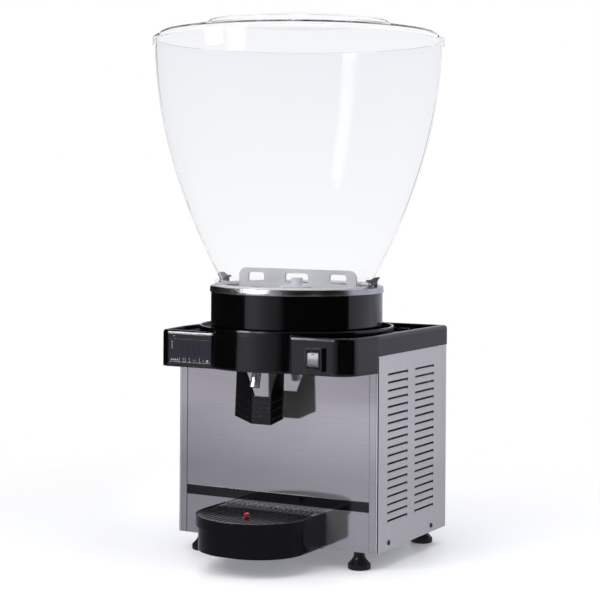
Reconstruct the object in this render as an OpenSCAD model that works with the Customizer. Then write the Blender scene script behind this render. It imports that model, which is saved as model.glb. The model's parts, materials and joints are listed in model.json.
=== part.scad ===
// Cold drink dispenser: one clear bowl on a refrigerated base with a push-lever tap.
// Origin on the floor under the bowl's axis, +X to the object's right as seen from
// the front, +Y to the back, +Z up.

/* [Cabinet] */
// Width across the side panels
cab_w = 380; // [370:1:410]
// Depth from the front panel to the rear panel
cab_d = 274.6; // [268:0.1:300]
// Height of the sheet-metal cabinet
cab_h = 321; // [312:1:345]
// Thickness of the sheet metal
sheet_t = 1.2; // [1:0.1:1.5]
// Distance from the front panel back to the bowl's axis
axis_set = 70.4; // [68:0.1:74]
// Width of each front corner post
post_w = 11.6; // [10:0.2:14]
// Width of the side panel's folded front edge
side_fold = 2.4; // [2:0.1:3]
// Gap of the seams between panels
seam = 0.4; // [0.2:0.1:0.8]
// Depth of the rear panel's edge, wrapped round onto the sides
rear_wrap = 15.5; // [12:0.5:20]
// Height of the floor pan's upturned edge
pan_h = 14; // [12:1:20]

/* [Louvres] */
// Number of louvres in a column
louvre_rows = 19; // [12:1:20]
// Distance from one louvre to the next
louvre_pitch = 13.4; // [12:0.1:14]
// Height of the lowest louvre above the cabinet's underside
louvre_low = 47.5; // [40:0.5:52]
// Length of a louvre
louvre_len = 75; // [60:1:80]
// Opening height of a louvre
louvre_gap = 3.2; // [2.4:0.1:4]
// Distance from the front panel to the first column
louvre_in = 38.4; // [34:0.2:42]
// Distance from the start of one column to the start of the next
louvre_step = 105.9; // [98:0.1:110]

/* [Feet] */
// Height of the feet under the cabinet
foot_h = 30; // [26:1:40]
// Radius of a foot's base
foot_r = 19; // [17:0.5:21]
// Radius of a foot's neck
foot_neck_r = 9; // [8:0.5:10]
// Distance from the cabinet's side to a foot's axis
foot_side = 39; // [34:1:44]
// Distance from the front panel to the front feet's axis
foot_front = 15; // [14:0.5:20]
// Distance from the rear panel to the rear feet's axis
foot_rear = 14.6; // [13:0.1:20]
// Radius of the threaded stud
stud_r = 4; // [3:0.5:5]
// Radial clearance of a stud in its nut
stud_gap = 0.06; // [0.03:0.01:0.1]

/* [Cover] */
// How far the cover stands out past the side panels
cover_over = 0.8; // [0.4:0.1:1.4]
// Height of the cover's skirt above the cabinet
cover_h = 34; // [32:0.5:38]
// Wall of the cover
cover_wall = 3; // [2.5:0.1:3.5]
// Width of the raised rim round the cover
rim_w = 8; // [6:0.5:10]
// Depth of the recessed top inside the rim
rim_drop = 9; // [7:0.5:10]
// Edge rounding of the cover's top
cover_round = 5; // [3:0.5:6]
// How far the front pods stand ahead of the front panel
pod_reach = 83.5; // [80:0.5:88]
// How far the pods hang below the skirt
pod_drop = 27; // [24:0.5:29]
// Distance from the centre to a pod's inner side
pod_inner = 73.5; // [70:0.5:76]
// Outer corner radius of the left pod
pod_corner = 20; // [16:0.5:24]
// Outer corner radius of the right pod
pod_corner_right = 34; // [30:0.5:36]
// Outward slant of a pod's outer side, in degrees
pod_flare = 9; // [6:0.5:11]
// Radius of the central bulge at its top
bulge_r = 166; // [165:0.2:168]
// How much wider the bulge is at its bottom
bulge_draft = 3; // [2:0.2:4]
// Height of the gutter's lip above the cover
lip_rise = 6; // [4:0.5:8]
// Depth of the gutter round the collar
gutter_drop = 8; // [6:0.5:10]
// Width of the gutter
gutter_w = 16; // [14:0.5:16]
// Radius of the hole inside the gutter
hole_r = 140; // [138:0.5:142]

/* [Collar and cold plate] */
// Radius of the black collar
collar_r = 147; // [146:0.2:148]
// Wall of the collar
collar_wall = 3; // [2.5:0.1:3.5]
// Height of the collar above the gutter's floor
collar_h = 65; // [61:1:70]
// Height of the steel ring on the collar
ring_h = 10; // [8.5:0.5:13]
// How far the steel ring's bead stands out past the collar
ring_bead = 2; // [1:0.2:3]
// Inner radius of the steel ring
ring_in_r = 127; // [125:0.5:128]
// Depth of the cold plate below the ring's top
plate_drop = 9; // [8:0.5:11]
// Thickness of the cold plate
plate_t = 1.5; // [1.2:0.1:2]
// Radius of the evaporator's tube
coil_r = 4; // [3:0.5:4.5]
// Thickness of the foam under the evaporator
foam_h = 44; // [36:1:46]

/* [Bowl and lid] */
// Height of the bowl above its flange
bowl_h = 409; // [380:1:430]
// Outer radius of the bowl at its rim
bowl_rim_r = 245.5; // [235:0.5:255]
// Outer radius of the bowl where it meets its flange
bowl_base_r = 131.5; // [130.5:0.5:133]
// Wall of the bowl
bowl_wall = 3; // [2.5:0.1:3.5]
// How strongly the bowl's side curves
bowl_curve = 1.9; // [1.6:0.05:2.2]
// Outer radius of the bowl's flange
flange_r = 140.5; // [139.5:0.1:141]
// Height of the bowl's flange
flange_h = 7.5; // [6:0.5:9]
// Thickness of the gasket under the flange
gasket_t = 2.5; // [2:0.1:3.5]
// Radial play of the lid over the rim
lid_play = 1.5; // [1:0.1:2]
// Thickness of the lid
lid_t = 2.5; // [2:0.1:3]
// Height of the lid's skirt below the bowl's rim
lid_skirt = 9; // [6:0.5:12]
// Rise of the lid's dome above the bowl's rim
lid_rise = 25.5; // [22:0.5:30]
// Radius of the raised disc in the lid
disc_r = 158; // [150:1:170]
// Height of the raised disc's step
disc_step = 7; // [5:0.5:8]

/* [Stirrer] */
// Length of the blade from the axis to its end
blade_reach = 118; // [110:0.5:120]
// Height of the blade
blade_h = 35; // [30:0.5:40]
// Thickness of the blade
blade_t = 4; // [3:0.2:5]
// Clearance between the blade and the cold plate
blade_lift = 2; // [1.5:0.1:3]
// Turn of the blade at rest, in degrees
blade_turn = -3; // [-15:1:15]
// Radius of the hub that holds the magnets
hub_r = 30; // [28:0.5:34]
// Radius of a magnet
magnet_r = 7; // [6:0.5:8]
// Height of a magnet
magnet_h = 4; // [3:0.2:4.4]
// Distance from the axis to a magnet
magnet_at = 20; // [18:0.5:21]
// Radius of the spindle
spindle_r = 4; // [3:0.5:5]
// Radial clearance on the spindle and the motor's shaft
spin_gap = 0.08; // [0.04:0.01:0.1]
// Radius of the motor
motor_r = 28; // [24:0.5:30]

/* [Clamps] */
// Width of a bowl clamp's lever
clamp_w = 18; // [14:0.5:20]
// Radius of a clamp's pin
clamp_pin_r = 1.5; // [1.2:0.1:1.8]
// Clearance of a clamp's lever on its pin and between its cheeks
clamp_gap = 0.08; // [0.04:0.01:0.1]

/* [Tap] */
// Distance of the valve ahead of the bowl's axis
valve_y = 125; // [124:0.5:126]
// Radius of the valve body
valve_r = 18; // [17:0.5:19]
// Radius of the valve's bore
valve_bore_r = 12; // [11:0.5:13]
// Height of the valve body
valve_h = 36; // [34:0.5:37]
// Radial clearance of the piston in its bore
piston_gap = 0.05; // [0.02:0.01:0.09]
// Distance from the lever's pivot to the piston
lever_arm = 18; // [17.5:0.1:18.5]
// Radius of the lever's pin
pivot_r = 2.5; // [2:0.1:2.8]
// Half of the lever's width at its bottom
lever_half = 45; // [43:0.5:45.5]
// Half of the lever's flat middle
lever_flat = 18.7; // [16:0.5:21]
// How far the lever reaches below the cover
lever_drop = 90.6; // [80:0.2:100]
// Thickness of the lever
lever_t = 4; // [3:0.2:5]
// How far the lever's sides curve forward
lever_dish = 9.8; // [8:0.2:10.6]
// Forward lean of the lever, in degrees
lever_lean = 2.5; // [1.5:0.1:3]
// Radius of the spout
spout_r = 8; // [7:0.2:8.5]
// How far the spout reaches below the cover
spout_drop = 27.5; // [22:0.5:34]
// Forward tilt of the spout, in degrees
spout_tilt = 15.6; // [13:0.2:17]
// Radius of the outlet pipe's bore
outlet_r = 7.5; // [6.5:0.1:8]

/* [Controls] */
// Width of the controller's bezel
panel_w = 86; // [82:0.5:87]
// Height of the controller's bezel
panel_h = 52; // [48:0.5:53]
// Width of the controller's window
glass_w = 83; // [78:0.5:84]
// Height of the controller's window
glass_h = 38; // [34:0.5:40]
// Width of the switch's frame
switch_w = 32; // [30:0.5:34]
// Height of the switch's frame
switch_h = 38.5; // [36:0.5:40]
// How far the switch's frame stands out
switch_out = 8.5; // [7:0.5:10]
// Distance from the centre to the switch's middle
switch_x = 119; // [112:0.5:124]
// Height of the label band
band_h = 17; // [14:0.5:20]
// Height of the label band above the cabinet's underside
band_low = 66.2; // [65.5:0.1:72]

/* [Drip tray] */
// Half of the tray's width
tray_half = 97; // [93:0.5:103]
// How far the tray stands out from the front panel
tray_reach = 157; // [150:0.5:165]
// Height of the tray's top above the cabinet's underside
tray_top = 59.5; // [58:0.5:62]
// Height of the tray
tray_h = 57.5; // [50:0.5:58]
// Height of the tray's wider upper band
tray_band = 18; // [16:0.5:22]
// How far the lower part is set in
tray_inset = 4.4; // [3:0.2:5]
// Wall of the tray
tray_wall = 2.5; // [2:0.1:3]
// Radius of the tray's front corners
tray_corner = 86; // [76:1:90]
// Thickness of the grille
grille_t = 4; // [3:0.2:5]
// Distance from one grille slot to the next
grille_pitch = 9.9; // [9:0.1:11]
// Width of a grille slot
grille_slot = 5; // [4:0.1:6]
// Clearance round the grille
grille_gap = 0.4; // [0.3:0.1:0.8]
// Radius of the level indicator
float_r = 4.4; // [3.5:0.1:5]
// Distance of the level indicator to the right of the centre
float_x = 0; // [-8:0.5:8]
// Distance of the level indicator ahead of the front panel
float_y = 94; // [85:0.5:105]

/* [Cooling unit] */
// Radius of the compressor's can
comp_r = 58; // [52:0.5:62]
// Height of the compressor's can
comp_h = 150; // [130:1:170]
// Height of the condenser
cond_h = 236; // [200:2:250]
// Length of the condenser
cond_l = 190; // [170:2:200]
// Thickness of the condenser
cond_t = 28; // [22:1:32]
// Number of grooves between the condenser's fins
fin_gaps = 22; // [12:1:26]
// Radius of the fan's blades
fan_r = 76; // [66:0.5:80]
// Number of the fan's blades
fan_count = 5; // [3:1:7]
// Radius of the cord's entry
cord_r = 4; // [3.5:0.1:5]

/* [Hidden] */
$fn = 96;
eps = 0.02;

// Cabinet planes
front_y = -axis_set;
rear_y = cab_d - axis_set;
cab_z0 = foot_h;
cab_z1 = foot_h + cab_h;
half_w = cab_w / 2;
in_half = half_w - sheet_t;
post_x1 = half_w - side_fold - seam;
post_x0 = post_x1 - post_w;
panel_half = post_x0 - seam;
side_y1 = rear_y - rear_wrap - seam;
deck_t = 1.5;
screw_head_r = 4;
screw_head_h = 1.4;
screw_shank_r = 2;
screw_up = 11.5;

// Cover levels
cover_half = half_w + cover_over;
cover_z1 = cab_z1 + cover_h;
cover_y1 = rear_y + cover_over;
recess_z = cover_z1 - rim_drop;
ceiling_z = recess_z - cover_wall;
pod_z0 = cab_z1 - pod_drop;
pod_front = front_y - pod_reach;
lip_z1 = cover_z1 + lip_rise;
gutter_z = lip_z1 - gutter_drop;
lip_in_r = collar_r + gutter_w;
bulge_low_r = bulge_r + bulge_draft;

// Collar, ring and plate levels
collar_z1 = gutter_z + collar_h;
ring_z1 = collar_z1 + ring_h;
plate_z1 = ring_z1 - plate_drop;
plate_z0 = plate_z1 - plate_t;
coil_z = plate_z0 - coil_r;
foam_z1 = coil_z - coil_r;
foam_z0 = foam_z1 - foam_h;
foam_in_r = 40;
coil_tail_r = blade_reach - 2;
coil_radii = [50, 64, 78, coil_tail_r];

// Bowl and lid levels
flange_z0 = ring_z1 + gasket_t;
flange_z1 = flange_z0 + flange_h;
bowl_z1 = flange_z1 + bowl_h;
lid_in_r = bowl_rim_r + lid_play;
lid_out_r = lid_in_r + lid_t;
lid_seat_gap = 0.2;
lid_z0 = bowl_z1 - lid_skirt;
dome_z = bowl_z1 + lid_rise;
disc_z1 = dome_z + disc_step;
bowl_steps = 28;
mould_round = 1.5;

// Stirrer levels
blade_z0 = plate_z1 + blade_lift;
hub_top = 20;
hub_disc_h = magnet_h + 2;
hub_boss_r = 12;
spindle_foot_h = 1.2;
spindle_z1 = blade_z0 + hub_top - 4;
window_low = 11;
window_h = 16.5;
window_mid = 46;
window_end = 33;
window_end_at = 82.5;
rotor_h = 6;
rotor_gap = 1.5;
rotor_z1 = plate_z0 - rotor_gap;
rotor_z0 = rotor_z1 - rotor_h;
shaft_r = 3;
shaft_len = 26;
motor_h = 40;
motor_gap = 6;
motor_z1 = rotor_z0 - motor_gap;
motor_z0 = motor_z1 - motor_h;
stand_t = 3;
stand_half = 48;
stand_leg = 38;

// Clamps: distances from the bowl's axis
clamp_in = flange_r + 2;
clamp_out = collar_r + 1;
clamp_pin_x = (clamp_in + clamp_out) / 2;
clamp_foot_t = 1.5;
clamp_pin_z = ring_z1 + 6.8;
cheek_t = 2.5;
cheek_h = 10.5;
clamp_seat_gap = 0.25;

// Tap
valve_z0 = pod_z0 - 2;
valve_z1 = valve_z0 + valve_h;
valve_floor = 9.5;
piston_z0 = valve_z0 + valve_floor + 1;
pivot_z = valve_z1 + 8;
pivot_y = -valve_y - lever_arm;
pivot_half = 51;
port_z = piston_z0 + outlet_r - 1.5;
port_r = outlet_r - 1.5;
pipe_wall = 2;
pipe_out_r = outlet_r + pipe_wall;
pipe_y = -valve_y + valve_r + 3.5 + pipe_out_r;
piston_r = valve_bore_r - piston_gap;
stem_r = 7;
stem_z1 = pivot_z + 4;
piston_pin_r = 2;
slot_half = 2.4;
yoke_x = 13;
yoke_t = 3;
yoke_y = 16;
spring_z1 = stem_z1 + 18;
spring_r = 5.6;
spring_wire = 0.8;
spring_turns = 6;
yoke_top = 3;
fork_x0 = lever_half - 7.5;
fork_x1 = lever_half - 2;
lever_edge_y = front_y - 55;
lever_y = lever_edge_y + lever_dish;
lever_z0 = pod_z0 - lever_drop;
lever_top = pod_z0 + 8;
corner_rise = 12.6;
window_z0 = lever_z0 + 46.2;
window_foot = 15.5;
window_head = 34.5;
cheek_x = lever_half + 2;
bracket_t = 3;
bracket_z0 = pod_z0 + 1;
bracket_z1 = pivot_z + 8;
spout_z0 = pod_z0 - spout_drop;
spigot_r = spout_r - 1.4;
spigot_l = (valve_z0 + valve_floor - spout_z0) / cos(spout_tilt);
spout_y0 = -axis_set - 71;

// Controls
panel_t = 2;
panel_z = pod_z0 + 3.5 + panel_h / 2;
panel_x = -(pod_inner + 1 + panel_w / 2);
glass_z = panel_z - 1.5;
glass_t = 1.2;
case_w = 70;
case_h = 28;
case_l = 56;
switch_z = pod_z0 + 25.5;
switch_body_w = 24;
switch_body_h = 30;
switch_body_l = 24;
rocker_w = 19;
rocker_h = 25;
rocker_axis_y = pod_front + 4;
rocker_room = 7.5;
rocker_stub = 2.2;
rocker_stub_r = 1.5;
rocker_fit = 0.05;
rocker_wall = 1.2;
band_t = 0.8;

// Drip tray
tray_z1 = cab_z0 + tray_top;
tray_z0 = tray_z1 - tray_h;
tray_step_z = tray_z1 - tray_band;
tray_front = front_y - tray_reach;
tray_back = front_y - 3.4;
skirt_y0 = front_y - 79;
skirt_x0 = tray_half - tray_inset - 1;
skirt_up = 3.5;
bracket_foot_t = 3;
grille_drop = 1;
grille_z1 = tray_z1 - grille_drop;
grille_z0 = grille_z1 - grille_t;
ledge_w = tray_inset + tray_wall;
slot_margin = 5.2;
float_gap = 0.9;
float_rim = 4;
float_up = 5;
float_foot_r = 12;
float_foot_h = 6;

// Cooling unit
pan_floor = cab_z0 + sheet_t;
comp_x = -88;
comp_y = 72;
mount_h = 12;
comp_plate_t = 3;
comp_z0 = pan_floor + mount_h + comp_plate_t;
cond_x1 = in_half - 12;
cond_x0 = cond_x1 - cond_t;
cond_y0 = front_y + 44;
cond_z0 = pan_floor + 12;
fan_y = cond_y0 + cond_l / 2;
fan_z = cond_z0 + cond_h / 2;
shroud_t = 2;
shroud_x0 = cond_x0 - shroud_t;
shroud_gap = 5;
blade_len_x = 16;
blades_x0 = shroud_x0 - 4 - blade_len_x;
fan_hub_r = 20;
fan_shaft_r = 3;
fan_motor_l = 36;
fan_motor_x1 = blades_x0 - 4;
strut_half = 3;
cord_x = -150;
cord_z = 60;
line_r = 3;

// Stands a copy at each side of the object's middle plane
module both_sides() {
  children();
  mirror([1, 0, 0]) children();
}

// A plate in the XZ plane with round corners, its face towards -Y
module face_plate(w, h, t, r) {
  rotate([90, 0, 0]) linear_extrude(t) union() {
    square([w - 2 * r, h], center = true);
    square([w, h - 2 * r], center = true);
    for (sx = [-1, 1], sz = [-1, 1])
      translate([sx * (w / 2 - r), sz * (h / 2 - r)]) circle(r, $fn = 32);
  }
}

module box(x0, x1, y0, y1, z0, z1) {
  translate([x0, y0, z0]) cube([x1 - x0, y1 - y0, z1 - z0]);
}

// A round bar along X
module bar_x(x0, x1, y, z, r) {
  translate([x0, y, z]) rotate([0, 90, 0]) cylinder(r = r, h = x1 - x0);
}

// A round bar along Y
module bar_y(y0, y1, x, z, r) {
  translate([x, y0, z]) rotate([-90, 0, 0]) cylinder(r = r, h = y1 - y0);
}

module at_feet() {
  for (sx = [-1, 1]) {
    translate([sx * (half_w - foot_side), front_y + foot_front, 0]) children();
    translate([sx * (half_w - foot_side), rear_y - foot_rear, 0]) children();
  }
}

// Places of the side panels' fixing screws, for the right-hand side
module at_side_screws() {
  for (y = [front_y + 44.2, front_y + 213.2])
    translate([half_w, y, cab_z0 + screw_up]) rotate([0, 90, 0]) children();
}

module at_rear_screws() {
  for (sx = [-1, 1], z = [cab_z0 + screw_up, cab_z1 - screw_up])
    translate([sx * (half_w - 12), rear_y, z]) rotate([-90, 0, 0]) children();
}

// Cabinet

module base_pan() {
  nut_r = stud_r + 4;
  nut_h = 6;
  color("silver") difference() {
    union() {
      difference() {
        box(-in_half, in_half, front_y + sheet_t, rear_y - sheet_t, cab_z0, cab_z0 + pan_h);
        box(-in_half + sheet_t, in_half - sheet_t, front_y + 2 * sheet_t,
            rear_y - 2 * sheet_t, pan_floor, cab_z0 + pan_h + 1);
      }
      at_feet() translate([0, 0, cab_z0]) cylinder(r = nut_r, h = sheet_t + nut_h);
    }
    at_feet() translate([0, 0, cab_z0 - 1]) cylinder(r = stud_r + stud_gap, h = nut_h + sheet_t + 2);
    both_sides() at_side_screws() translate([0, 0, -8]) cylinder(r = screw_shank_r, h = 9);
    at_rear_screws() translate([0, 0, -8]) cylinder(r = screw_shank_r, h = 9);
  }
}

module front_panel() {
  tap_hole_r = 3;
  color("lightgray") difference() {
    box(-panel_half, panel_half, front_y, front_y + sheet_t, cab_z0, cab_z1);
    for (sx = [-1, 1])
      translate([sx * 30, front_y - 1, bracket_z0 + 14]) rotate([-90, 0, 0])
        cylinder(r = tap_hole_r, h = sheet_t + 2);
  }
}

module corner_posts() {
  tab = 6;
  post_d = 18;
  color("gainsboro") both_sides() union() {
    box(post_x0, post_x1, front_y, front_y + sheet_t, cab_z0, cab_z1);
    box(post_x0 - tab, post_x1, front_y + sheet_t, front_y + 2 * sheet_t, cab_z0 + pan_h, cab_z1 - deck_t);
    box(post_x0, post_x0 + sheet_t, front_y + sheet_t, front_y + post_d, cab_z0 + pan_h, cab_z1 - deck_t);
  }
}

// One louvre: a slit with a wider punched end, in the side panel's own plane
module louvre_cut() {
  box(-2 * sheet_t, sheet_t, 0, louvre_len, -louvre_gap / 2, louvre_gap / 2);
  translate([-2 * sheet_t, louvre_len, -louvre_gap / 4]) rotate([0, 90, 0])
    cylinder(r = louvre_gap * 0.9, h = 3 * sheet_t);
}

module at_louvres() {
  for (col = [0, 1], row = [0 : louvre_rows - 1])
    translate([half_w, front_y + louvre_in + col * louvre_step, cab_z0 + louvre_low + row * louvre_pitch])
      children();
}

module side_panel() {
  lip_t = 0.7;
  lip_out = 0.6;
  difference() {
    union() {
      box(half_w - sheet_t, half_w, front_y, side_y1, cab_z0, cab_z1);
      box(half_w - side_fold, half_w, front_y, front_y + sheet_t, cab_z0, cab_z1);
      at_louvres() box(-sheet_t / 2, lip_out, 0, louvre_len, -louvre_gap / 2 - lip_t, -louvre_gap / 2 + 0.1);
    }
    at_louvres() louvre_cut();
    at_side_screws() translate([0, 0, -sheet_t - 1]) cylinder(r = screw_shank_r, h = sheet_t + 2);
  }
}

module side_panel_right() {
  color("lightgray") side_panel();
}

module side_panel_left() {
  color("lightgray") mirror([1, 0, 0]) side_panel();
}

module rear_panel() {
  vent_rows = 12;
  vent_pitch = 16;
  vent_w = 120;
  vent_x = -75;
  vent_h = 5;
  color("lightgray") difference() {
    union() {
      box(-half_w, half_w, rear_y - sheet_t, rear_y, cab_z0, cab_z1);
      both_sides() box(half_w - sheet_t, half_w, rear_y - rear_wrap, rear_y, cab_z0, cab_z1);
    }
    for (row = [0 : vent_rows - 1])
      translate([vent_x, rear_y, cab_z1 - 40 - row * vent_pitch])
        cube([vent_w, 4 * sheet_t, vent_h], center = true);
    translate([cord_x, rear_y - sheet_t - 1, cord_z]) rotate([-90, 0, 0])
      cylinder(r = cord_r + 4, h = sheet_t + 2);
    at_rear_screws() translate([0, 0, -sheet_t - 1]) cylinder(r = screw_shank_r, h = sheet_t + 2);
  }
}

module top_deck() {
  wire_hole_x = coil_tail_r + 4;
  wire_hole_r = 3.5 * line_r;
  color("silver") difference() {
    box(-in_half, in_half, front_y + sheet_t, rear_y - sheet_t, cab_z1 - deck_t, cab_z1);
    translate([0, coil_tail_r, cab_z1 - deck_t - 1]) cylinder(r = line_r + 3, h = deck_t + 2);
    translate([-wire_hole_x, 0, cab_z1 - deck_t - 1]) cylinder(r = wire_hole_r, h = deck_t + 2);
  }
}

module panel_screw() {
  cylinder(r = screw_head_r, h = screw_head_h);
  translate([0, 0, -sheet_t - 3]) cylinder(r = screw_shank_r, h = sheet_t + 3);
}

module panel_screws() {
  color("dimgray") union() {
    both_sides() at_side_screws() panel_screw();
    at_rear_screws() panel_screw();
  }
}

// A levelling foot: a scalloped base on a flared neck, with its threaded stud
module foot() {
  lobes = 12;
  lobe_r = 2.2;
  base_h = 8.5;
  neck_gap = 0.3;
  neck_z = foot_h - neck_gap;
  difference() {
    rotate_extrude() polygon([[0, 0], [foot_r - 1.5, 0], [foot_r, 1.5], [foot_r, base_h],
      [foot_r - 2, base_h + 2], [foot_neck_r + 3.4, foot_h / 2 + 0.5],
      [foot_neck_r + 0.8, foot_h * 0.66], [foot_neck_r, foot_h * 0.8], [foot_neck_r, neck_z], [0, neck_z]]);
    for (i = [0 : lobes - 1])
      rotate([0, 0, i * 360 / lobes]) translate([foot_r + 1.2, 0, -1]) cylinder(r = lobe_r, h = base_h + 1.6);
  }
  cylinder(r = stud_r, h = foot_h + pan_h);
}

module foot_front_left() {
  color("black") translate([-(half_w - foot_side), front_y + foot_front, 0]) foot();
}

module foot_front_right() {
  color("black") translate([half_w - foot_side, front_y + foot_front, 0]) foot();
}

module foot_rear_left() {
  color("black") translate([-(half_w - foot_side), rear_y - foot_rear, 0]) foot();
}

module foot_rear_right() {
  color("black") translate([half_w - foot_side, rear_y - foot_rear, 0]) foot();
}

module label_band() {
  z0 = cab_z0 + band_low;
  color("black") box(-panel_half, panel_half, front_y - band_t, front_y, z0, z0 + band_h);
}

// Cover

// Plan of a pod at the right with the given corner radius, set in by k on its outer
// faces, from x = inner out and closed at y = back
module pod_plan(k, corner, inner, back) {
  r = corner - k;
  front = pod_front + k;
  cy = front + r;
  cx = cover_half - k - (r + sin(pod_flare) * (front_y - cy)) / cos(pod_flare);
  polygon([[inner, back], [inner, front], [cx, front], [cx + r * cos(pod_flare), cy - r * sin(pod_flare)],
    [cover_half - k, front_y], [cover_half - k, back]]);
  translate([cx, cy]) circle(r);
}

// Plans of both pods, set in by k on every face but the one at y = back
module both_pods(k, back) {
  pod_plan(k, pod_corner_right, pod_inner + k, back);
  mirror([1, 0]) pod_plan(k, pod_corner, pod_inner + k, back);
}

// Plan of the cover over the cabinet, set in by k
module main_plan(k, front) {
  translate([-cover_half + k, front]) square([2 * (cover_half - k), cover_y1 - k - front]);
}

// Plan of a pod together with the cover behind it
module wing_plan(k, corner) {
  pod_plan(k, corner, pod_inner, cover_y1 - k);
}

// Plan of the cover between the two wings
module middle_plan(k) {
  translate([-pod_inner, front_y]) square([2 * pod_inner, cover_y1 - k - front_y]);
}

// A solid on a plan, with its top edge rounded by the cover's rounding
module rounded_top() {
  hull() {
    translate([0, 0, cab_z1]) linear_extrude(eps) children(0);
    translate([0, 0, cover_z1 - cover_round]) linear_extrude(eps) children(0);
    translate([0, 0, cover_z1 - cover_round * 0.55]) linear_extrude(eps) children(1);
    translate([0, 0, cover_z1 - cover_round * 0.16]) linear_extrude(eps) children(2);
    translate([0, 0, cover_z1 - eps]) linear_extrude(eps) children(3);
  }
}

module wing_outer(corner) {
  rounded_top() {
    wing_plan(0, corner);
    wing_plan(cover_round * 0.1, corner);
    wing_plan(cover_round * 0.45, corner);
    wing_plan(cover_round * 0.9, corner);
  }
  translate([0, 0, pod_z0]) linear_extrude(cab_z1 - pod_z0) pod_plan(0, corner, pod_inner, front_y);
}

module middle_outer() {
  rounded_top() {
    middle_plan(0);
    middle_plan(cover_round * 0.1);
    middle_plan(cover_round * 0.45);
    middle_plan(cover_round * 0.9);
  }
}

module bulge_outer() {
  intersection() {
    translate([0, 0, pod_z0]) cylinder(r1 = bulge_low_r, r2 = bulge_r, h = lip_z1 - pod_z0);
    union() {
      box(-cover_half, cover_half, -2 * bulge_r, front_y, pod_z0, lip_z1 + 1);
      box(-cover_half, cover_half, -2 * bulge_r, 2 * bulge_r, cab_z1, lip_z1 + 1);
    }
  }
}

module cover_hollow() {
  translate([0, 0, pod_z0 + cover_wall]) linear_extrude(ceiling_z - pod_z0 - cover_wall)
    both_pods(cover_wall, front_y);
  translate([0, 0, cab_z1 - 1]) linear_extrude(ceiling_z - cab_z1 + 1) main_plan(cover_wall, front_y);
  intersection() {
    translate([0, 0, pod_z0 - 1])
      cylinder(r1 = bulge_low_r - cover_wall, r2 = lip_in_r, h = gutter_z - cover_wall - pod_z0 + 1);
    box(-pod_inner, pod_inner, -2 * bulge_r, front_y + 1, pod_z0 - 2, gutter_z - cover_wall);
  }
  intersection() {
    cylinder(r = lip_in_r, h = gutter_z - cover_wall);
    box(-cover_half, cover_half, front_y, 2 * bulge_r, cab_z1 - 1, gutter_z);
  }
}

module cover_recess() {
  difference() {
    translate([0, 0, recess_z]) linear_extrude(rim_drop + 1) union() {
      main_plan(rim_w, front_y);
      both_pods(rim_w, front_y + 1);
    }
    translate([0, 0, recess_z - 1]) cylinder(r = bulge_r, h = rim_drop + 3);
  }
}

module top_cover() {
  case_cut_w = case_w + 1;
  case_cut_h = case_h + 1;
  color([0.06, 0.06, 0.07]) difference() {
    union() {
      wing_outer(pod_corner_right);
      mirror([1, 0, 0]) wing_outer(pod_corner);
      middle_outer();
      bulge_outer();
    }
    cover_hollow();
    cover_recess();
    translate([0, 0, gutter_z]) cylinder(r = lip_in_r, h = gutter_drop + 1);
    translate([0, 0, gutter_z - cover_wall - 1]) cylinder(r = hole_r, h = cover_wall + 2);
    translate([panel_x, pod_front + cover_wall / 2, panel_z])
      cube([case_cut_w, 3 * cover_wall, case_cut_h], center = true);
    translate([switch_x, pod_front + cover_wall / 2, switch_z])
      cube([switch_body_w + 1, 3 * cover_wall, switch_body_h + 1], center = true);
  }
}

// Collar, ring and cold plate

module collar() {
  color([0.06, 0.06, 0.07]) translate([0, 0, gutter_z]) difference() {
    cylinder(r = collar_r, h = collar_h);
    translate([0, 0, -1]) cylinder(r = collar_r - collar_wall, h = collar_h + 2);
  }
}

module steel_ring() {
  bead_r = collar_r + ring_bead;
  skin = 1.5;
  color("silver") rotate_extrude() polygon([[ring_in_r, plate_z0], [ring_in_r + skin, plate_z0],
    [ring_in_r + skin, ring_z1 - skin], [collar_r - collar_wall, ring_z1 - skin],
    [collar_r - collar_wall, collar_z1], [bead_r, collar_z1], [bead_r, collar_z1 + 0.3 * ring_h],
    [bead_r - 0.7, ring_z1 - skin], [bead_r - 1.2, ring_z1 - 0.5], [bead_r - skin - 0.7, ring_z1],
    [ring_in_r + 1, ring_z1], [ring_in_r, ring_z1 - 1]]);
}

module cold_plate() {
  color("silver") difference() {
    translate([0, 0, plate_z0]) cylinder(r = ring_in_r, h = plate_t);
    translate([0, pipe_y, plate_z0 - 1]) cylinder(r = pipe_out_r, h = plate_t + 2);
  }
}

module evaporator_coil() {
  color("peru") union() {
    for (r = coil_radii)
      translate([0, 0, coil_z]) rotate_extrude() translate([r, 0]) circle(coil_r, $fn = 24);
    translate([0, coil_radii[0], coil_z]) rotate([-90, 0, 0])
      cylinder(r = coil_r * 0.8, h = coil_tail_r - coil_radii[0]);
  }
}

module foam_ring() {
  color("khaki") difference() {
    translate([0, 0, foam_z0]) cylinder(r = collar_r - collar_wall, h = foam_h);
    translate([0, 0, foam_z0 - 1]) cylinder(r = foam_in_r, h = foam_h + 2);
    translate([0, pipe_y, foam_z0 - 1]) cylinder(r = pipe_out_r, h = foam_h + 2);
    translate([0, coil_tail_r, foam_z0 - 1]) cylinder(r = line_r, h = foam_h + 2);
  }
}

module bowl_gasket() {
  color("whitesmoke") translate([0, 0, ring_z1]) difference() {
    cylinder(r = flange_r, h = gasket_t);
    translate([0, 0, -1]) cylinder(r = bowl_base_r - bowl_wall, h = gasket_t + 2);
  }
}

// Bowl and lid

// Outer radius of the bowl at share t of its height
function bowl_r(t) = bowl_base_r + (bowl_rim_r - bowl_base_r) * (1 - pow(1 - t, bowl_curve));

// Share of the height at step i, closer together near the rim
function bowl_share(i) = 1 - pow(1 - i / bowl_steps, 1.25);

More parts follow.
